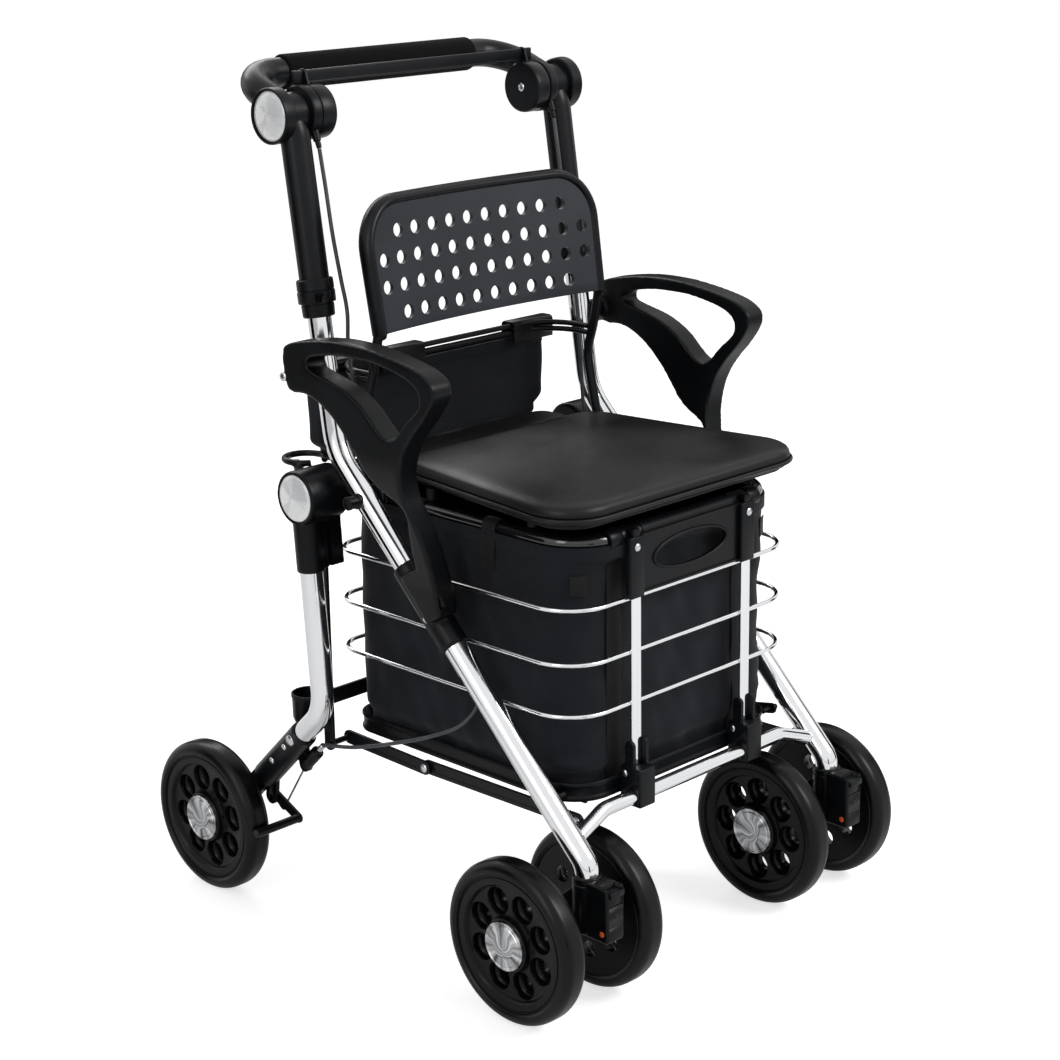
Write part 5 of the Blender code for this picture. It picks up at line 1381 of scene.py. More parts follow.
# %% [markdown]
# ## Hem, sleeve, tabs and seams of the bag
# The top edge is turned over a hem, and two loops of webbing on each side hang it on the seat tube. Two
# bands run down behind the flat bars, and small tabs sit on the front corners. In front a smooth black
# sleeve with a cuff at each end covers the seat tube.

# %% Bag trim
LOOP_R = 0.0094
hem = [Vector(place) + Vector((0, 0, -0.006)) for place in bag_ring(BAG_HIGH - 0.0012, -0.0007)]
hem.append(hem[0])
ribbon("bag_hem", hem, 0.014, 0.0009, material=nylon)
for side, name in sides():
    band = [on_bag(side * 0.101, BAG_FRONT, z, 0.0008) for z in [0.212 + 0.0105 * i for i in range(24)]]
    ribbon(f"{name}_bag_band", band, 0.022, 0.0010, up=(1, 0, 0))
    tab = [on_bag(side * 0.1465, -0.2300, z, 0.0012) for z in (0.424, 0.431, 0.438, 0.445)]
    ribbon(f"{name}_corner_tab", tab, 0.018, 0.0012, up=(1, 0.55 * side, 0))
    for order, y in enumerate((-0.120, -0.010)):
        loop_line = []
        for angle in range(-200, 21, 20):
            turn = math.radians(angle)
            x = side * (TUBE_X + LOOP_R * math.cos(turn))
            loop_line.append(Vector((x, y, TUBE_Z - LOOP_R * math.sin(turn))))
        loop_line += [on_bag(side * BAG_X, y, z, 0.0014) for z in (0.467, 0.455, 0.444, 0.434)]
        ribbon(f"{name}_bag_loop_{order}", loop_line, 0.020, 0.0011, up=(0, 1, 0))

profile = [(0.0, 0.0083), (0.0, 0.0097), (0.002, 0.0101), (0.194, 0.0101), (0.196, 0.0097), (0.196, 0.0083)]
sleeve = turned("tube_sleeve", profile, (-0.098, TUBE_FRONT, TUBE_Z), (1, 0, 0), 40, 40, closed=True)
layer = sleeve.data.uv_layers.new(name="cloth")
for loop in sleeve.data.loops:
    spot = sleeve.data.vertices[loop.vertex_index].co
    layer.data[loop.index].uv = (spot.x, 0.010 * math.atan2(spot.z - TUBE_Z, spot.y - TUBE_FRONT))
dress(sleeve, "frame", powder)
profile = [(0.0, 0.0084), (0.0, 0.0106), (0.0015, 0.0112), (0.0165, 0.0112), (0.018, 0.0106), (0.018, 0.0084)]
for side, name in sides():
    place = (side * 0.1075 - 0.009, TUBE_FRONT, TUBE_Z)
    dress(turned(f"{name}_tube_cuff", profile, place, (1, 0, 0), 40, 40, closed=True), "frame", plastic)

# %% [markdown]
# # Basket
# Three chromed wires run round the bag and are welded to two flat bars in front. A moulded panel slides
# over the bars: two upright channels, a thinner web between them, and an oval hand hole with a rolled
# lip. A rivet holds each channel.

# %% Basket wires and panel
WIRES = (0.4149, 0.3568, 0.3015)
FLAT_BAR_X, FLAT_BAR_LOW = 0.0865, 0.2336
hoops = []
for height in WIRES:
    corners = [(-0.1766, -0.252), (0.1766, -0.252), (0.1766, 0.113), (-0.1766, 0.113)]
    line = [Vector((x, y, height)) for x, y in outline_of(corners, [0.050, 0.050, 0.034, 0.034], 5)]
    hoops.append(tube("hoop", line, 0.0025, 4, closed=True))
bars = []
for side, _ in sides():
    x = side * FLAT_BAR_X
    bar = [(x - 0.007, -0.25640), (x + 0.007, -0.25640), (x + 0.007, -0.25340), (x - 0.007, -0.25340)]
    bar = outline_of(bar, [0.0008] * 4, 20)
    middle = (0, 0, (TUBE_Z + FLAT_BAR_LOW) / 2)
    bar = plate("bar", [bar], TUBE_Z - FLAT_BAR_LOW, middle, (1, 0, 0), (0, 1, 0), edge=0.0004, rounds=2)
    bars.append(bar)
    bars.append(tube("stay", [(x, 0.1155, 0.2975), (x, 0.1155, 0.4190)], 0.0025, 4))
dress(joined("basket_wirework", *hoops, *bars), "frame", chrome, "basket_wires")

turns = [math.radians(angle) for angle in range(0, 360, 5)]
oval = [(0.0560 * math.cos(turn), 0.4500 + 0.0165 * math.sin(turn)) for turn in turns]
web = outline_of([(-0.095, 0.4165), (0.095, 0.4165), (0.095, 0.4800), (-0.095, 0.4800)], [0.004] * 4, 15)
panel = plate("hand_panel", [web, oval], 0.0030, (0, -0.2518, 0), (1, 0, 0), (0, 0, 1), edge=0.0008)
lip_line = [(0.0572 * math.cos(turn), -0.2536, 0.4500 + 0.0177 * math.sin(turn)) for turn in turns]
lip = tube("lip", lip_line, 0.0017, 4, closed=True)
more = []
for side, _ in sides():
    x = side * 0.0870
    more.append(block("channel", (x - 0.0105, -0.2588, 0.4150), (x + 0.0105, -0.2506, 0.4800), 0.0014, 3))
    more.append(block("head", (x - 0.0050, -0.2575, 0.4780), (x + 0.0050, -0.2480, 0.4880), 0.0012, 2))
for z in (0.4185, 0.4790):
    more.append(block("edge", (-0.0790, -0.2548, z - 0.0012), (0.0790, -0.2520, z + 0.0012), 0.0007, 2))
hook = arc((TUBE_FRONT, TUBE_Z), 0.0112, 90, 215, 10)
inner = arc((TUBE_FRONT, TUBE_Z), 0.0098, 215, 90, 10)
more.append(plate("hook", [hook + inner], 0.140, (0, 0, 0), (0, 1, 0), (0, 0, 1), edge=0.0003))
dress(joined("hand_panel", panel, lip, *more), "frame", plastic, "basket_handle_panel")
for side, name in sides():
    head = rivet(f"{name}_panel_rivet", (side * 0.0876, -0.2587, 0.4690), (0, -1, 0), 0.0042, 0.0022)
    dress(head, "frame", plating)

# %% [markdown]
# # Rear pouch
# A flat nylon pouch hangs behind the seat from two thin rods. It is lofted like the bag, with its bottom
# corners drawn in. Three stiff folded flaps clip over the rods: left, middle and right.

# %% Pouch
POUCH_X, POUCH_Y, POUCH_DEEP = 0.1725, 0.1395, 0.018
pouch_plan = [(-POUCH_X, 0.1215), (POUCH_X, 0.1215), (POUCH_X, 0.1575), (-POUCH_X, 0.1575)]
pouch_line, pouch_round = spread(outline_of(pouch_plan, [0.010] * 4, 12), 0.0040)


def pouch_ring(z, inset):
    ring = []
    height = (z - 0.502) / 0.099
    corner = min(1.0, max(0.0, (0.5300 - z) / 0.0135))
    for x, y in pouch_line:
        full = 0.0016 * math.sin(3.1 * height) * math.cos(9 * x)
        wave = 0.0008 * math.sin(37 * x + 6 * height) + 0.0006 * math.sin(71 * x - 11 * height)
        sx = x * (1 - (inset + 0.0012) / POUCH_X) * (1 - 0.085 * corner * corner)
        sy = POUCH_Y + (y - POUCH_Y) * (1 - (inset * 0.9 + 0.0022 + abs(full) + wave) / POUCH_DEEP)
        ring.append((sx, sy, z))
    return ring


rings = [
    pouch_ring(0.5020, 0.014), pouch_ring(0.5022, 0.008), pouch_ring(0.5032, 0.004),
    pouch_ring(0.5060, 0.0012),
]
rings += [pouch_ring(0.5090 + 0.0915 * level / 26, 0.0) for level in range(27)]
pouch = loft("sewn_pouch", rings, close_high=False)
uv_in_metres(pouch, pouch_line, pouch_round)
applied(pouch, "SOLIDIFY", thickness=CLOTH_THICK, offset=-1.0)
dress(shade(pouch, 70), "frame", nylon, "rear_pouch")
hem = [Vector(place) + Vector((0, 0, -0.006)) for place in pouch_ring(0.6005, -0.0006)]
ribbon("pouch_hem", hem + [hem[0]], 0.012, 0.0008, material=nylon)
for name, x in (("left", -0.1400), ("middle", -0.0635), ("right", 0.1400)):
    fold = [(0.1116, 0.5965), (0.1114, 0.6080)] + arc((0.1152, 0.6160), 0.0040, 180, 90, 5)
    fold += arc((0.1265, 0.6160), 0.0040, 90, 0, 5) + [(0.1305, 0.6050)]
    fold = [(x, y, z) for y, z in fold]
    flap = ribbon(f"{name}_pouch_flap", fold, 0.064, 0.0020, up=(1, 0, 0), material=plastic)

# %% [markdown]
# # Tray
# Under the bag lies a moulded tray. Its rim is a gutter with an upper flange and a rolled lower edge.
# The floor is a grid. Two clamps hold the cross tube, and each has two upright lugs that grip the
# foot of a flat bar. A short link with a rivet joins each side of the tray to the front leg.

# %% Tray
def tray_ring(out, z):
    x, front, back = 0.164 + out, -0.244 - out, 0.105 + out
    radii = [max(0.004, radius + out) for radius in (0.048, 0.048, 0.029, 0.029)]
    plan = outline_of([(-x, front), (x, front), (x, back), (-x, back)], radii, 5)
    return [(x, y, z) for x, y in plan]


section = [
    (-0.0030, 0.2055), (-0.0030, 0.2210), (-0.0026, 0.2228), (-0.0006, 0.2230), (0.0000, 0.2222),
    (0.0, 0.2195),
]
section += [
    (-0.0012, 0.2185), (-0.0016, 0.2170), (-0.0016, 0.2095), (-0.0012, 0.2080), (0.0, 0.2068),
    (0.0002, 0.2048),
]
section += [(-0.0008, 0.2028), (-0.0030, 0.2020), (-0.0060, 0.2020), (-0.0060, 0.2045), (-0.0034, 0.2048)]
rings = [tray_ring(out, z) for out, z in section]
rim = loft("tray_rim", rings + [rings[0]], close_low=False, close_high=False)
clean(rim, doubles=0.00002, angle=40)
grid = []
for step in range(-4, 5):
    x = step * 0.036
    grid.append(block("rib", (x - 0.002, -0.2385, 0.2025), (x + 0.002, 0.0990, 0.2047), 0.0005, 1))
for step in range(-3, 4):
    y = -0.070 + step * 0.045
    grid.append(block("rib", (-0.1590, y - 0.002, 0.2021), (0.1590, y + 0.002, 0.2043), 0.0005, 1))
clamps = []
for side, _ in sides():
    x = side * FLAT_BAR_X
    clamp = block("clamp", (x - 0.0120, -0.2718, 0.1908), (x + 0.0120, -0.2432, 0.2330), 0.0018, 3)
    carved(clamp, peg("seat", (x - 0.03, *CROSS), (x + 0.03, *CROSS), 0.0081, 0.0002, 40))
    clamps.append(clamp)
    for near in (-1, 1):
        inner = x + near * 0.0074
        lug = [(-0.2622, 0.2290), (-0.2500, 0.2290), (-0.2500, 0.2615), (-0.2622, 0.2615)]
        lug = outline_of(lug, [0.001, 0.001, 0.0058, 0.0058], 15)
        clamps.append(plate("lug", [lug], 0.0044, (inner + near * 0.0022, 0, 0), edge=0.0008))
dress(joined("moulded_tray", rim, *grid, *clamps), "frame", plastic, "base_tray")
for side, name in sides():
    x = side * FLAT_BAR_X
    for near in (-1, 1):
        head = rivet(
            f"{name}_clamp_rivet_{near + 1}", (x + near * 0.0118, -0.2500, 0.2255), (near, 0, 0), 0.0038,
            0.0018,
        )
        dress(head, "frame", plating)
    link = plate(
        "link", [stadium((-0.2240, 0.2140), (-0.1980, 0.2090), 0.0060)], 0.0030, (side * 0.1745, 0, 0),
        edge=0.0006,
    )
    pin = peg("pin", (side * 0.1600, -0.2220, 0.2135), (side * 0.1840, -0.2220, 0.2135), 0.0030)
    stay = peg("stay", (side * 0.1740, -0.2000, 0.2094), (side * 0.1860, -0.2000, 0.2094), 0.0030)
    dress(joined(f"{name}_tray_link", link, pin, stay), "frame", powder)
    head = rivet(f"{name}_link_rivet", (side * 0.1762, -0.2220, 0.2135), (side, 0, 0), 0.0036, 0.0014)
    dress(head, "frame", plating)
print("tray done")

# %% [markdown]
# # Folding rails and rear frame
# Under the tray each side has a flat rail in two halves on a middle rivet, which breaks when the walker
# is folded. Behind, a flat bar joins two uprights inside the rear legs, and an arm holds the cup.

# %% Rails
RAIL_FRONT, RAIL_MID, RAIL_REAR = Vector((-0.245, 0.1915)), Vector((-0.020, 0.1885)), Vector((0.105, 0.1915))
RAIL_R, RAIL_THICK = 0.0079, 0.0038


def pressed_bar(name, start, end, x):
    """A flat bar with round ends, bevelled, with a shallow channel pressed along each face."""
    bar = plate(name, [stadium(start, end, RAIL_R)], RAIL_THICK, (x, 0, 0), edge=0.0007)
    into = (end - start).normalized() * 0.014
    for near in (-1, 1):
        groove = stadium(start + into, end - into, RAIL_R * 0.42)
        carved(bar, plate("groove", [groove], 0.0012, (x + near * RAIL_THICK / 2, 0, 0)))
    return clean(bar)


for side, name in sides():
    along = (RAIL_MID - RAIL_FRONT).normalized()
    front_body, rear_body = f"{name}_rail_front", f"{name}_rail_rear"
    rear_end = RAIL_MID - along * 0.0005
    front = pressed_bar(f"{name}_front_rail", RAIL_FRONT, rear_end, side * 0.1640)
    dress(front, front_body, powder, front_body)
    rear = pressed_bar(f"{name}_rear_rail", RAIL_REAR, RAIL_MID, side * 0.1683)
    dress(rear, rear_body, powder, rear_body)
    head = rivet(f"{name}_middle_rivet", at(side * 0.1702, RAIL_MID), (side, 0, 0), 0.0048, 0.0022)
    dress(head, rear_body, plating)
    head = rivet(f"{name}_front_rail_rivet", at(side * 0.1659, RAIL_FRONT), (side, 0, 0), 0.0045, 0.0020)
    dress(head, front_body, plating)

# %% Rear bar and umbrella cup
CUP = Vector((-0.1855, 0.152, 0.190))
UPRIGHT_X = 0.2035
down = (REAR_KNEE - FOLD).normalized()
flat = [block("bar", (-0.2030, 0.1016, 0.2382), (0.2030, 0.1054, 0.2558), 0.0009)]
for side, _ in sides():
    upright = stadium(FOLD + down * 0.046, RAIL_REAR + Vector((-0.008, 0.004)), 0.0075)
    flat.append(plate("upright", [upright], 0.0040, (side * UPRIGHT_X, 0, 0), edge=0.0008))
    flat.append(peg("pin", at(side * 0.1686, RAIL_REAR), at(side * UPRIGHT_X, RAIL_REAR), 0.0034))
cup_side = Vector((CUP.x, CUP.y, 0.216))
arm_start = Vector((-UPRIGHT_X, 0.1035, 0.216))
flat.append(peg("cup_arm", arm_start, cup_side + (arm_start - cup_side).normalized() * 0.0206, 0.0045))
dress(joined("rear_bar_and_uprights", *flat), "rear_legs", powder, "rear_cross_bar")
for side, name in sides():
    head = rivet(f"{name}_bar_rivet", (side * 0.1930, 0.1053, 0.2470), (0, 1, 0), 0.0038, 0.0016)
    dress(head, "rear_legs", plating)

profile = [(0.0, 0.0), (0.0, 0.0115), (0.0012, 0.0127), (0.0200, 0.0193), (0.0420, 0.0196), (0.0438, 0.0204)]
profile += [
    (0.0470, 0.0205), (0.0480, 0.0199), (0.0480, 0.0182), (0.0465, 0.0177), (0.0200, 0.0166),
    (0.0030, 0.0101), (0.0030, 0.0),
]
dress(turned("umbrella_tip_cup", profile, CUP, (0, 0, 1), 64, 30), "rear_legs", plastic, "umbrella_cup")
print("rails and rear bar done")

# %% [markdown]
# # Leg heads
# The top of each rear leg is a moulding: a round boss with a reflector, a sleeve down over the tube and a
# web on its inner side. On the left an open loop for an umbrella stands out of it. As on the armrests,
# the parts are joined and skinned, so that they run into each other with soft fillets.

# %% Leg heads
for side, name in sides():
    x = side * REAR_LEG_X
    length = (FOLD.y - 0.401) / -down.y
    end = FOLD + down * length
    profile = [(0.0, 0.0), (0.0, 0.0280), (0.0020, 0.0298), (0.0515, 0.0298), (0.0537, 0.0286), (0.0537, 0.0)]
    boss = turned("boss", profile, (side * 0.1828, *FOLD), (side, 0, 0), 80, 30)
    sleeve = peg("sleeve", at(x, FOLD), at(x, end), 0.0154, 0.0014, 48)
    wide = Vector((-down.y, down.x)) * 0.0120
    foot = FOLD + down * (length - 0.003)
    web = plate("web", [[FOLD - wide, FOLD + wide, foot + wide, foot - wide]], 0.0360, (side * 0.2020, 0, 0))
    parts = [boss, sleeve, web]
    if side < 0:
        loop_line = []
        for index in range(25):
            angle = math.radians(295 + 310 * index / 24)
            place = (CUP.x + 0.0219 * math.cos(angle), 0.141 + 0.0230 * math.sin(angle), 0.512)
            loop_line.append(Vector(place))
        parts.append(tube("loop", loop_line, 0.0038, 5))
        parts.append(peg("stem", (-0.2150, 0.112, 0.496), (-0.2010, 0.137, 0.512), 0.0048, 0.0008, 24))
    head = joined(f"{name}_leg_head", *parts)
    applied(head, "REMESH", mode="VOXEL", voxel_size=0.0012)
    applied(head, "SMOOTH", factor=0.5, iterations=7)
    carved(head, peg("bore", at(x, FOLD + down * 0.035), at(x, end + down * 0.03), 0.0129, 0.0002, 40))
    carved(head, peg("pocket", (side * 0.2338, *FOLD), (side * 0.2500, *FOLD), 0.0268, 0.0002, 64))
    slot = Vector((side * UPRIGHT_X, 0.096, 0.4140))
    carved(
        head,
        block("slot", slot - Vector((0.0024, 0.022, 0.036)), slot + Vector((0.0024, 0.022, 0.034)), 0.0002),
    )
    dress(shade(head, 50), "rear_legs", plastic, f"{name}_leg_housing")
    reflector(f"{name}_leg_lens", (side * 0.2336, *FOLD), side, 0.0258, "rear_legs", f"{name}_leg_reflector")
    print(head.name, len(head.data.polygons), "faces")

# %% [markdown]
# # Wheel brackets and brakes
# A steel sleeve clasps the foot of each rear leg, with an arm to the axle, an ear for the brake lever and
# a barrel that takes the cable. Three rivets go through it. The lever ends in a shoe in front of the tyre.

# %% Brackets
BRAKE_PIVOT = Vector((0.1860, 0.1120))
BARREL_X, BARREL_TOP, BARREL_FOOT = 0.2090, (0.1100, 0.1860), (0.1340, 0.1620)
for side, name in sides():
    x = side * REAR_LEG_X
    along = (AXLE - REAR_KNEE).normalized()
    start, end = REAR_KNEE + along * 0.050, REAR_KNEE + along * 0.150
    clasp = peg("clasp", at(x, start), at(x, end), 0.0154, 0.0012, 48)
    carved(
        clasp, peg("bore", at(x, start - along * 0.02), at(x, REAR_KNEE + along * 0.136), 0.0129, 0.0002, 40)
    )
    arm = plate(
        "arm", [stadium(end - along * 0.010, AXLE, 0.0124)], 0.0098, (side * 0.226, 0, 0), edge=0.0012
    )
    stub = peg("stub", at(side * 0.2230, AXLE), at(side * 0.2680, AXLE), 0.0039)
    collar = peg("collar", at(side * 0.2230, AXLE), at(side * 0.2458, AXLE), 0.0104, 0.0010, 32)
    ear = stadium(BRAKE_PIVOT, end - along * 0.012, 0.0089)
    ear = plate("ear", [ear], 0.0058, (side * 0.2180, 0, 0), edge=0.0010)
    hole = peg("hole", at(side * 0.2000, BRAKE_PIVOT), at(side * 0.2215, BRAKE_PIVOT), 0.0033, 0.0001, 24)
    carved(ear, hole)
    barrel_top, barrel_foot = at(side * BARREL_X, BARREL_TOP), at(side * BARREL_X, BARREL_FOOT)
    length = (barrel_foot - barrel_top).length
    ribs = [(0.0, 0.0), (0.0, 0.0040), (0.0030, 0.0050), (0.0036, 0.0068)]
    for ring in range(5):
        ribs += [
            (0.0042 + 0.0030 * ring, 0.0074), (0.0060 + 0.0030 * ring, 0.0074),
            (0.0064 + 0.0030 * ring, 0.0064),
        ]
    ribs += [(0.0215, 0.0072), (length - 0.001, 0.0072), (length, 0.0060), (length, 0.0)]
    barrel = turned("barrel", ribs, barrel_top, barrel_foot - barrel_top, 36, 30)
    lug = stadium(BARREL_FOOT, start + along * 0.030, 0.0078)
    lug = plate("lug", [lug], 0.0078, (side * BARREL_X, 0, 0), edge=0.0010)
    bracket = joined(f"{name}_bracket", clasp, arm, stub, collar, ear, barrel, lug)
    dress(bracket, "rear_legs", powder, f"{name}_wheel_bracket")
    for order, (reach, radius) in enumerate(((0.060, 0.0062), (0.075, 0.0036), (0.107, 0.0036))):
        spot = at(side * 0.2370, REAR_KNEE + along * reach)
        out = Vector((side, 0, 0))
        stem = peg("stem", spot - out * 0.006, spot + out * 0.0006, radius, 0.0003, 24)
        head = rivet("head", spot + out * 0.0004, out, radius, 0.0020)
        dress(joined(f"{name}_bracket_rivet_{order}", stem, head), "rear_legs", plating)

    plane, body = side * 0.2120, f"{name}_brake_arm"
    pad = AXLE + Vector((-math.cos(math.radians(4)), math.sin(math.radians(4)))) * (WHEEL_R + 0.0065)
    lever = plate("lever", [stadium(BRAKE_PIVOT, pad, 0.0059)], 0.0038, (plane, 0, 0), edge=0.0008)
    tail = stadium(BRAKE_PIVOT, BRAKE_PIVOT + Vector((-0.012, -0.010)), 0.0054)
    tail = plate("tail", [tail], 0.0036, (plane, 0, 0), edge=0.0008)
    pin = peg("pin", at(plane, BRAKE_PIVOT), at(side * 0.2204, BRAKE_PIVOT), 0.0029)
    shoe = peg("shoe", at(plane, pad), at(side * 0.2740, pad), 0.0050, 0.0008, 32)
    dress(joined(f"{name}_brake_lever", lever, tail, pin, shoe), body, powder, body)
    head = rivet(f"{name}_lever_pin", at(plane - side * 0.0018, BRAKE_PIVOT), (-side, 0, 0), 0.0042, 0.0016)
    dress(head, body, plating)
    rod_ends = at(side * BARREL_X, (0.1330, 0.1630)), at(side * 0.2086, (0.1700, 0.1080))
    dress(peg(f"{name}_pull_rod", *rod_ends, 0.0013, 0.0002, 16), "rear_legs", plating)
print("brackets done")

# %% [markdown]
# # Caster forks and direction locks
# Each pair of front wheels hangs on a fork: a barrel round the swivel, an arm back to the axle between the
# wheels, and in front a box for the lock that holds the wheels straight. The slider is a stepped lug on
# top of the box, and each side of the box has an orange mark.

# %% Casters
for side, name in sides():
    x = side * LEG_X
    post = [
        (0.094, 0.0), (0.094, 0.0130), (0.0965, 0.0152), (0.1470, 0.0154), (0.1480, 0.0146), (0.1495, 0.0146)
    ]
    post += [(0.1505, 0.0154), (0.1545, 0.0152), (0.1554, 0.0140), (0.1554, 0.0)]
    swivel = turned("swivel", post, (x, SWIVEL_Y, 0), (0, 0, 1), 56, 30)
    corners = [
        (-0.299, 0.100), (-0.297, 0.140), (-0.275, 0.142), (-0.232, 0.104), (-0.230, 0.076), (-0.254, 0.074)
    ]
    arm = outline_of(corners, [0.004, 0.004, 0.010, 0.008, 0.009, 0.009])
    arm = plate("arm", [arm], 0.0220, (x, 0, 0), edge=0.0020)
    axle = peg("axle", (x - 0.0572, -AXLE_Y, WHEEL_R), (x + 0.0572, -AXLE_Y, WHEEL_R), 0.0039)
    hub = peg("hub", (x - 0.0438, -AXLE_Y, WHEEL_R), (x + 0.0438, -AXLE_Y, WHEEL_R), 0.0109, 0.0012, 36)
    nose = block("nose", (x - 0.0130, -0.3265, 0.0935), (x + 0.0130, -0.2950, 0.1540), 0.0036, 4)
    carved(nose, block("slot", (x - 0.0105, -0.3365, 0.1320), (x + 0.0105, -0.3155, 0.1700), 0.0004, 1))
    carved(nose, block("seam", (x - 0.0200, -0.3300, 0.1110), (x + 0.0200, -0.3262, 0.1118), 0.0001, 1))
    dress(
        joined(f"{name}_fork", swivel, arm, axle, hub, nose), f"{name}_caster", plastic,
        f"{name}_caster_fork",
    )
    slider = block("slider", (x - 0.0101, -0.3293, 0.1433), (x + 0.0101, -0.3159, 0.1498), 0.0012, 3)
    inner = block("inner", (x - 0.0101, -0.3253, 0.1324), (x + 0.0101, -0.3159, 0.1450), 0.0008, 2)
    dress(joined(f"{name}_lock_slider", slider, inner), f"{name}_caster_lock", plastic, f"{name}_caster_lock")
    for near in (-1, 1):
        mark = rivet(
            f"{name}_lock_mark_{near + 1}", (x + near * 0.0126, -0.3190, 0.1040), (near, 0, 0), 0.0032,
            0.0010,
        )
        dress(mark, f"{name}_caster", orange)
    cap = rivet(f"{name}_swivel_screw", (x, -0.3262, 0.1225), (0, -1, 0), 0.0026, 0.0010)
    dress(cap, f"{name}_caster", powder)
print("casters done")

# %% [markdown]
# # Brake cables
# From each housing a cable in a grey jacket runs down along the inner side of the side tube, round the
# bag and back to the barrel on the rear leg. It is 4.4 mm thick. It crosses two joints, and it is made
# in two halves, each its own piece. A clip sits where they meet, and a ferrule on the lower end.

# %% Cables
CABLE_R, CABLE_STEPS, CABLE_SPLIT = 0.0022, 8, 9
CABLE = [
    (0.1755, 0.1078, 0.8490), (0.1750, 0.1010, 0.8100), (0.1745, 0.0930, 0.7600), (0.1725, 0.0850, 0.7150)
]
CABLE += [
    (0.1722, 0.0770, 0.6800), (0.1750, 0.0740, 0.6400), (0.1730, 0.0680, 0.5900), (0.1728, 0.0640, 0.5300)
]
CABLE += [
    (0.1728, 0.0620, 0.4900), (0.1728, 0.0560, 0.4590), (0.1712, 0.0300, 0.4380), (0.1710, -0.0100, 0.4180)
]
CABLE += [
    (0.1710, -0.0600, 0.3850), (0.1710, -0.1030, 0.3350), (0.1712, -0.1120, 0.2950),
    (0.1780, -0.0930, 0.2620),
]
CABLE += [
    (0.1840, -0.0500, 0.2380), (0.1920, 0.0050, 0.2170), (0.2040, 0.0500, 0.2040), (0.2090, 0.0800, 0.1985)
]
CABLE += [(0.2090, 0.1000, 0.1945), (0.2090, 0.1095, 0.1865)]
for side, name in sides():
    line = smooth_line([(side * x, y, z) for x, y, z in CABLE], CABLE_STEPS)
    split = CABLE_SPLIT * CABLE_STEPS
    upper = tube(f"{name}_cable_upper", line[: split + 1], CABLE_R, 4)
    dress(upper, None, jacket, f"{name}_brake_cable")
    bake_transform(upper)
    lower = tube(f"{name}_cable_lower", line[split:], CABLE_R, 4)
    dress(lower, None, jacket)
    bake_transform(lower)
    top, low = line[split] + Vector((0, 0.002, 0.008)), line[split] - Vector((0, 0.003, 0.007))
    dress(peg(f"{name}_cable_clip", top, low, 0.0034, 0.0006, 24), "frame", plastic)
    top, low = line[-1] - (line[-1] - line[-4]).normalized() * 0.010, line[-1]
    dress(peg(f"{name}_ferrule", top, low, 0.0034, 0.0006, 24), "rear_legs", plating)
    length = sum((b - a).length for a, b in zip(line, line[1:]))
print("cable length", round(length, 3), "m")

# %% [markdown]
# # Whatever still shows
# Any solid that no piece stands for keeps its own shape and gets the finish of its slot.

# %% Finishes on solids
FINISHES = {"chrome": chrome, "black_steel": powder, "black_plastic": plastic, "tyre": tyre_rubber}
FINISHES.update({"foam": foam, "leather": leather, "cloth": plastic, "reflector": plating})
for node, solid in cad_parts.items():
    if solid.hide_render:
        continue
    kind = solid.material_slots[0].material.name if solid.material_slots else "black_plastic"
    finish = next((made for key, made in FINISHES.items() if key in kind), plastic)
    for entry in solid.material_slots:
        entry.material = finish
    print("solid shown:", node, kind)

# %% [markdown]
# # Stage
# A pale floor and a white world, lit softly by three wide lamps: a key high on the camera's right, a fill
# from its left and one from behind for the edges of the black pieces. Black cards that only reflections
# see draw the dark streaks in the chrome. The camera stands where the photographer stood: front left,
# above the handle and looking a little down.

# %% Floor, lamps and camera
nothing_selected()
bpy.ops.mesh.primitive_plane_add(size=60, location=(0, 0, -0.0005))
floor = bpy.context.object
floor.name = "studio_floor"
made, tree, shader = new_material(
    "pale_floor", "#F4F4F4", 0.85, Emission_Color=(1, 1, 1, 1), Specular_IOR_Level=0.1
)
seen = add_node(tree, "ShaderNodeLightPath")
glow = add_node(
    tree, "ShaderNodeMath", {"operation": "MULTIPLY", 1: 0.66}, {0: seen.outputs["Is Camera Ray"]}
)
glow = add_node(
    tree, "ShaderNodeMath", {"operation": "MULTIPLY_ADD", 1: 0.15},
    {0: seen.outputs["Is Glossy Ray"], 2: glow.outputs[0]},
)
tree.links.new(glow.outputs[0], shader.inputs["Emission Strength"])
floor.data.materials.append(made)

world = bpy.data.worlds.new("studio")
bpy.context.scene.world = world
world.use_nodes = True
tree = world.node_tree
light = tree.nodes["Background"]
seen = add_node(tree, "ShaderNodeLightPath")
either = add_node(
    tree, "ShaderNodeMath", {"operation": "MAXIMUM"},
    {0: seen.outputs["Is Camera Ray"], 1: seen.outputs["Is Glossy Ray"]},
)
either = add_node(
    tree, "ShaderNodeMath", {"operation": "MAXIMUM"},
    {0: either.outputs[0], 1: seen.outputs["Is Transmission Ray"]},
)
level = add_node(tree, "ShaderNodeMapRange", {"To Min": 0.36, "To Max": 1.0}, {"Value": either.outputs[0]})
tree.links.new(level.outputs[0], light.inputs["Strength"])
light.inputs["Color"].default_value = (1, 1, 1, 1)


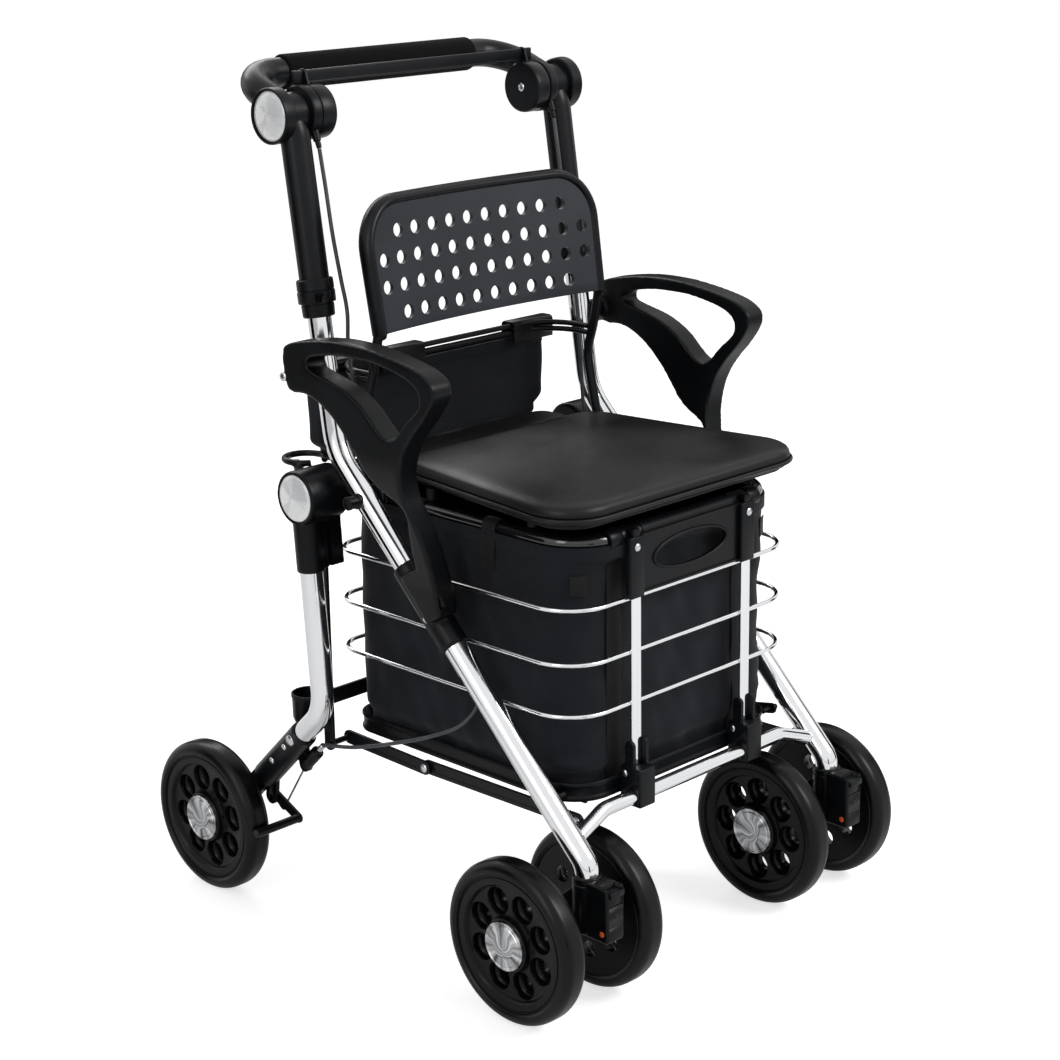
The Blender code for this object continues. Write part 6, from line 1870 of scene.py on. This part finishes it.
def lamp(name, place, aim, size, watts):
    data = bpy.data.lights.new(name, "AREA")
    data.shape = "RECTANGLE"
    data.size, data.size_y = size
    data.energy = watts
    made = bpy.data.objects.new(name, data)
    bpy.context.scene.collection.objects.link(made)
    made.location = place
    made.rotation_euler = (Vector(aim) - Vector(place)).to_track_quat("-Z", "Y").to_euler()


lamp("key", (1.3, -2.6, 2.7), (0, 0, 0.45), (1.5, 1.5), 70)
lamp("fill", (-2.8, -0.6, 1.9), (0, 0, 0.5), (0.9, 2.2), 18)
lamp("rim", (0.8, 2.6, 2.4), (0, 0, 0.5), (2.4, 1.0), 30)


def dark_card(name, place, aim, size):
    """A black card beside the set, seen only in reflections."""
    bpy.ops.mesh.primitive_plane_add(size=1, location=place)
    card = bpy.context.object
    card.name = name
    card.scale = (size[0], size[1], 1)
    card.rotation_euler = (Vector(aim) - Vector(place)).to_track_quat("Z", "Y").to_euler()
    card.data.materials.append(velvet)
    card.visible_camera = False
    card.visible_diffuse = False
    card.visible_shadow = False


velvet, _, _ = new_material("black_velvet", "#08080A", 1.0, Specular_IOR_Level=0.0)
dark_card("back_card", (1.9, 2.1, 1.0), (0, 0, 0.9), (3.6, 1.7))
dark_card("left_card", (-1.5, 1.1, 0.45), (0, 0, 0.4), (1.1, 1.5))
dark_card("right_card", (1.5, -0.7, 0.45), (0, 0, 0.4), (0.5, 1.2))
dark_card("front_card", (-0.7, -1.9, 0.10), (0, 0, 0.5), (0.35, 0.9))

PHOTO_SIDE, FOCAL_LENGTH, SENSOR_MM = 1060, 2329.9173, 36
EYE = Vector((-1.7514, -1.7707, 1.1512))
back = Vector((-0.67818, -0.67854, 0.28285))
right = Vector((0.70730, -0.70691, 0.0))
up = back.cross(right)
roll = math.radians(-0.9031)
across_view = right * math.cos(roll) + up * math.sin(roll)
up_view = up * math.cos(roll) - right * math.sin(roll)
data = bpy.data.cameras.new("camera")
data.sensor_width = SENSOR_MM
data.lens = FOCAL_LENGTH / PHOTO_SIDE * SENSOR_MM
camera = bpy.data.objects.new("camera", data)
bpy.context.scene.collection.objects.link(camera)
camera.matrix_world = Matrix.Translation(EYE) @ Matrix((across_view, up_view, back)).transposed().to_4x4()
bpy.context.scene.camera = camera
bpy.context.scene.view_settings.view_transform = "Standard"
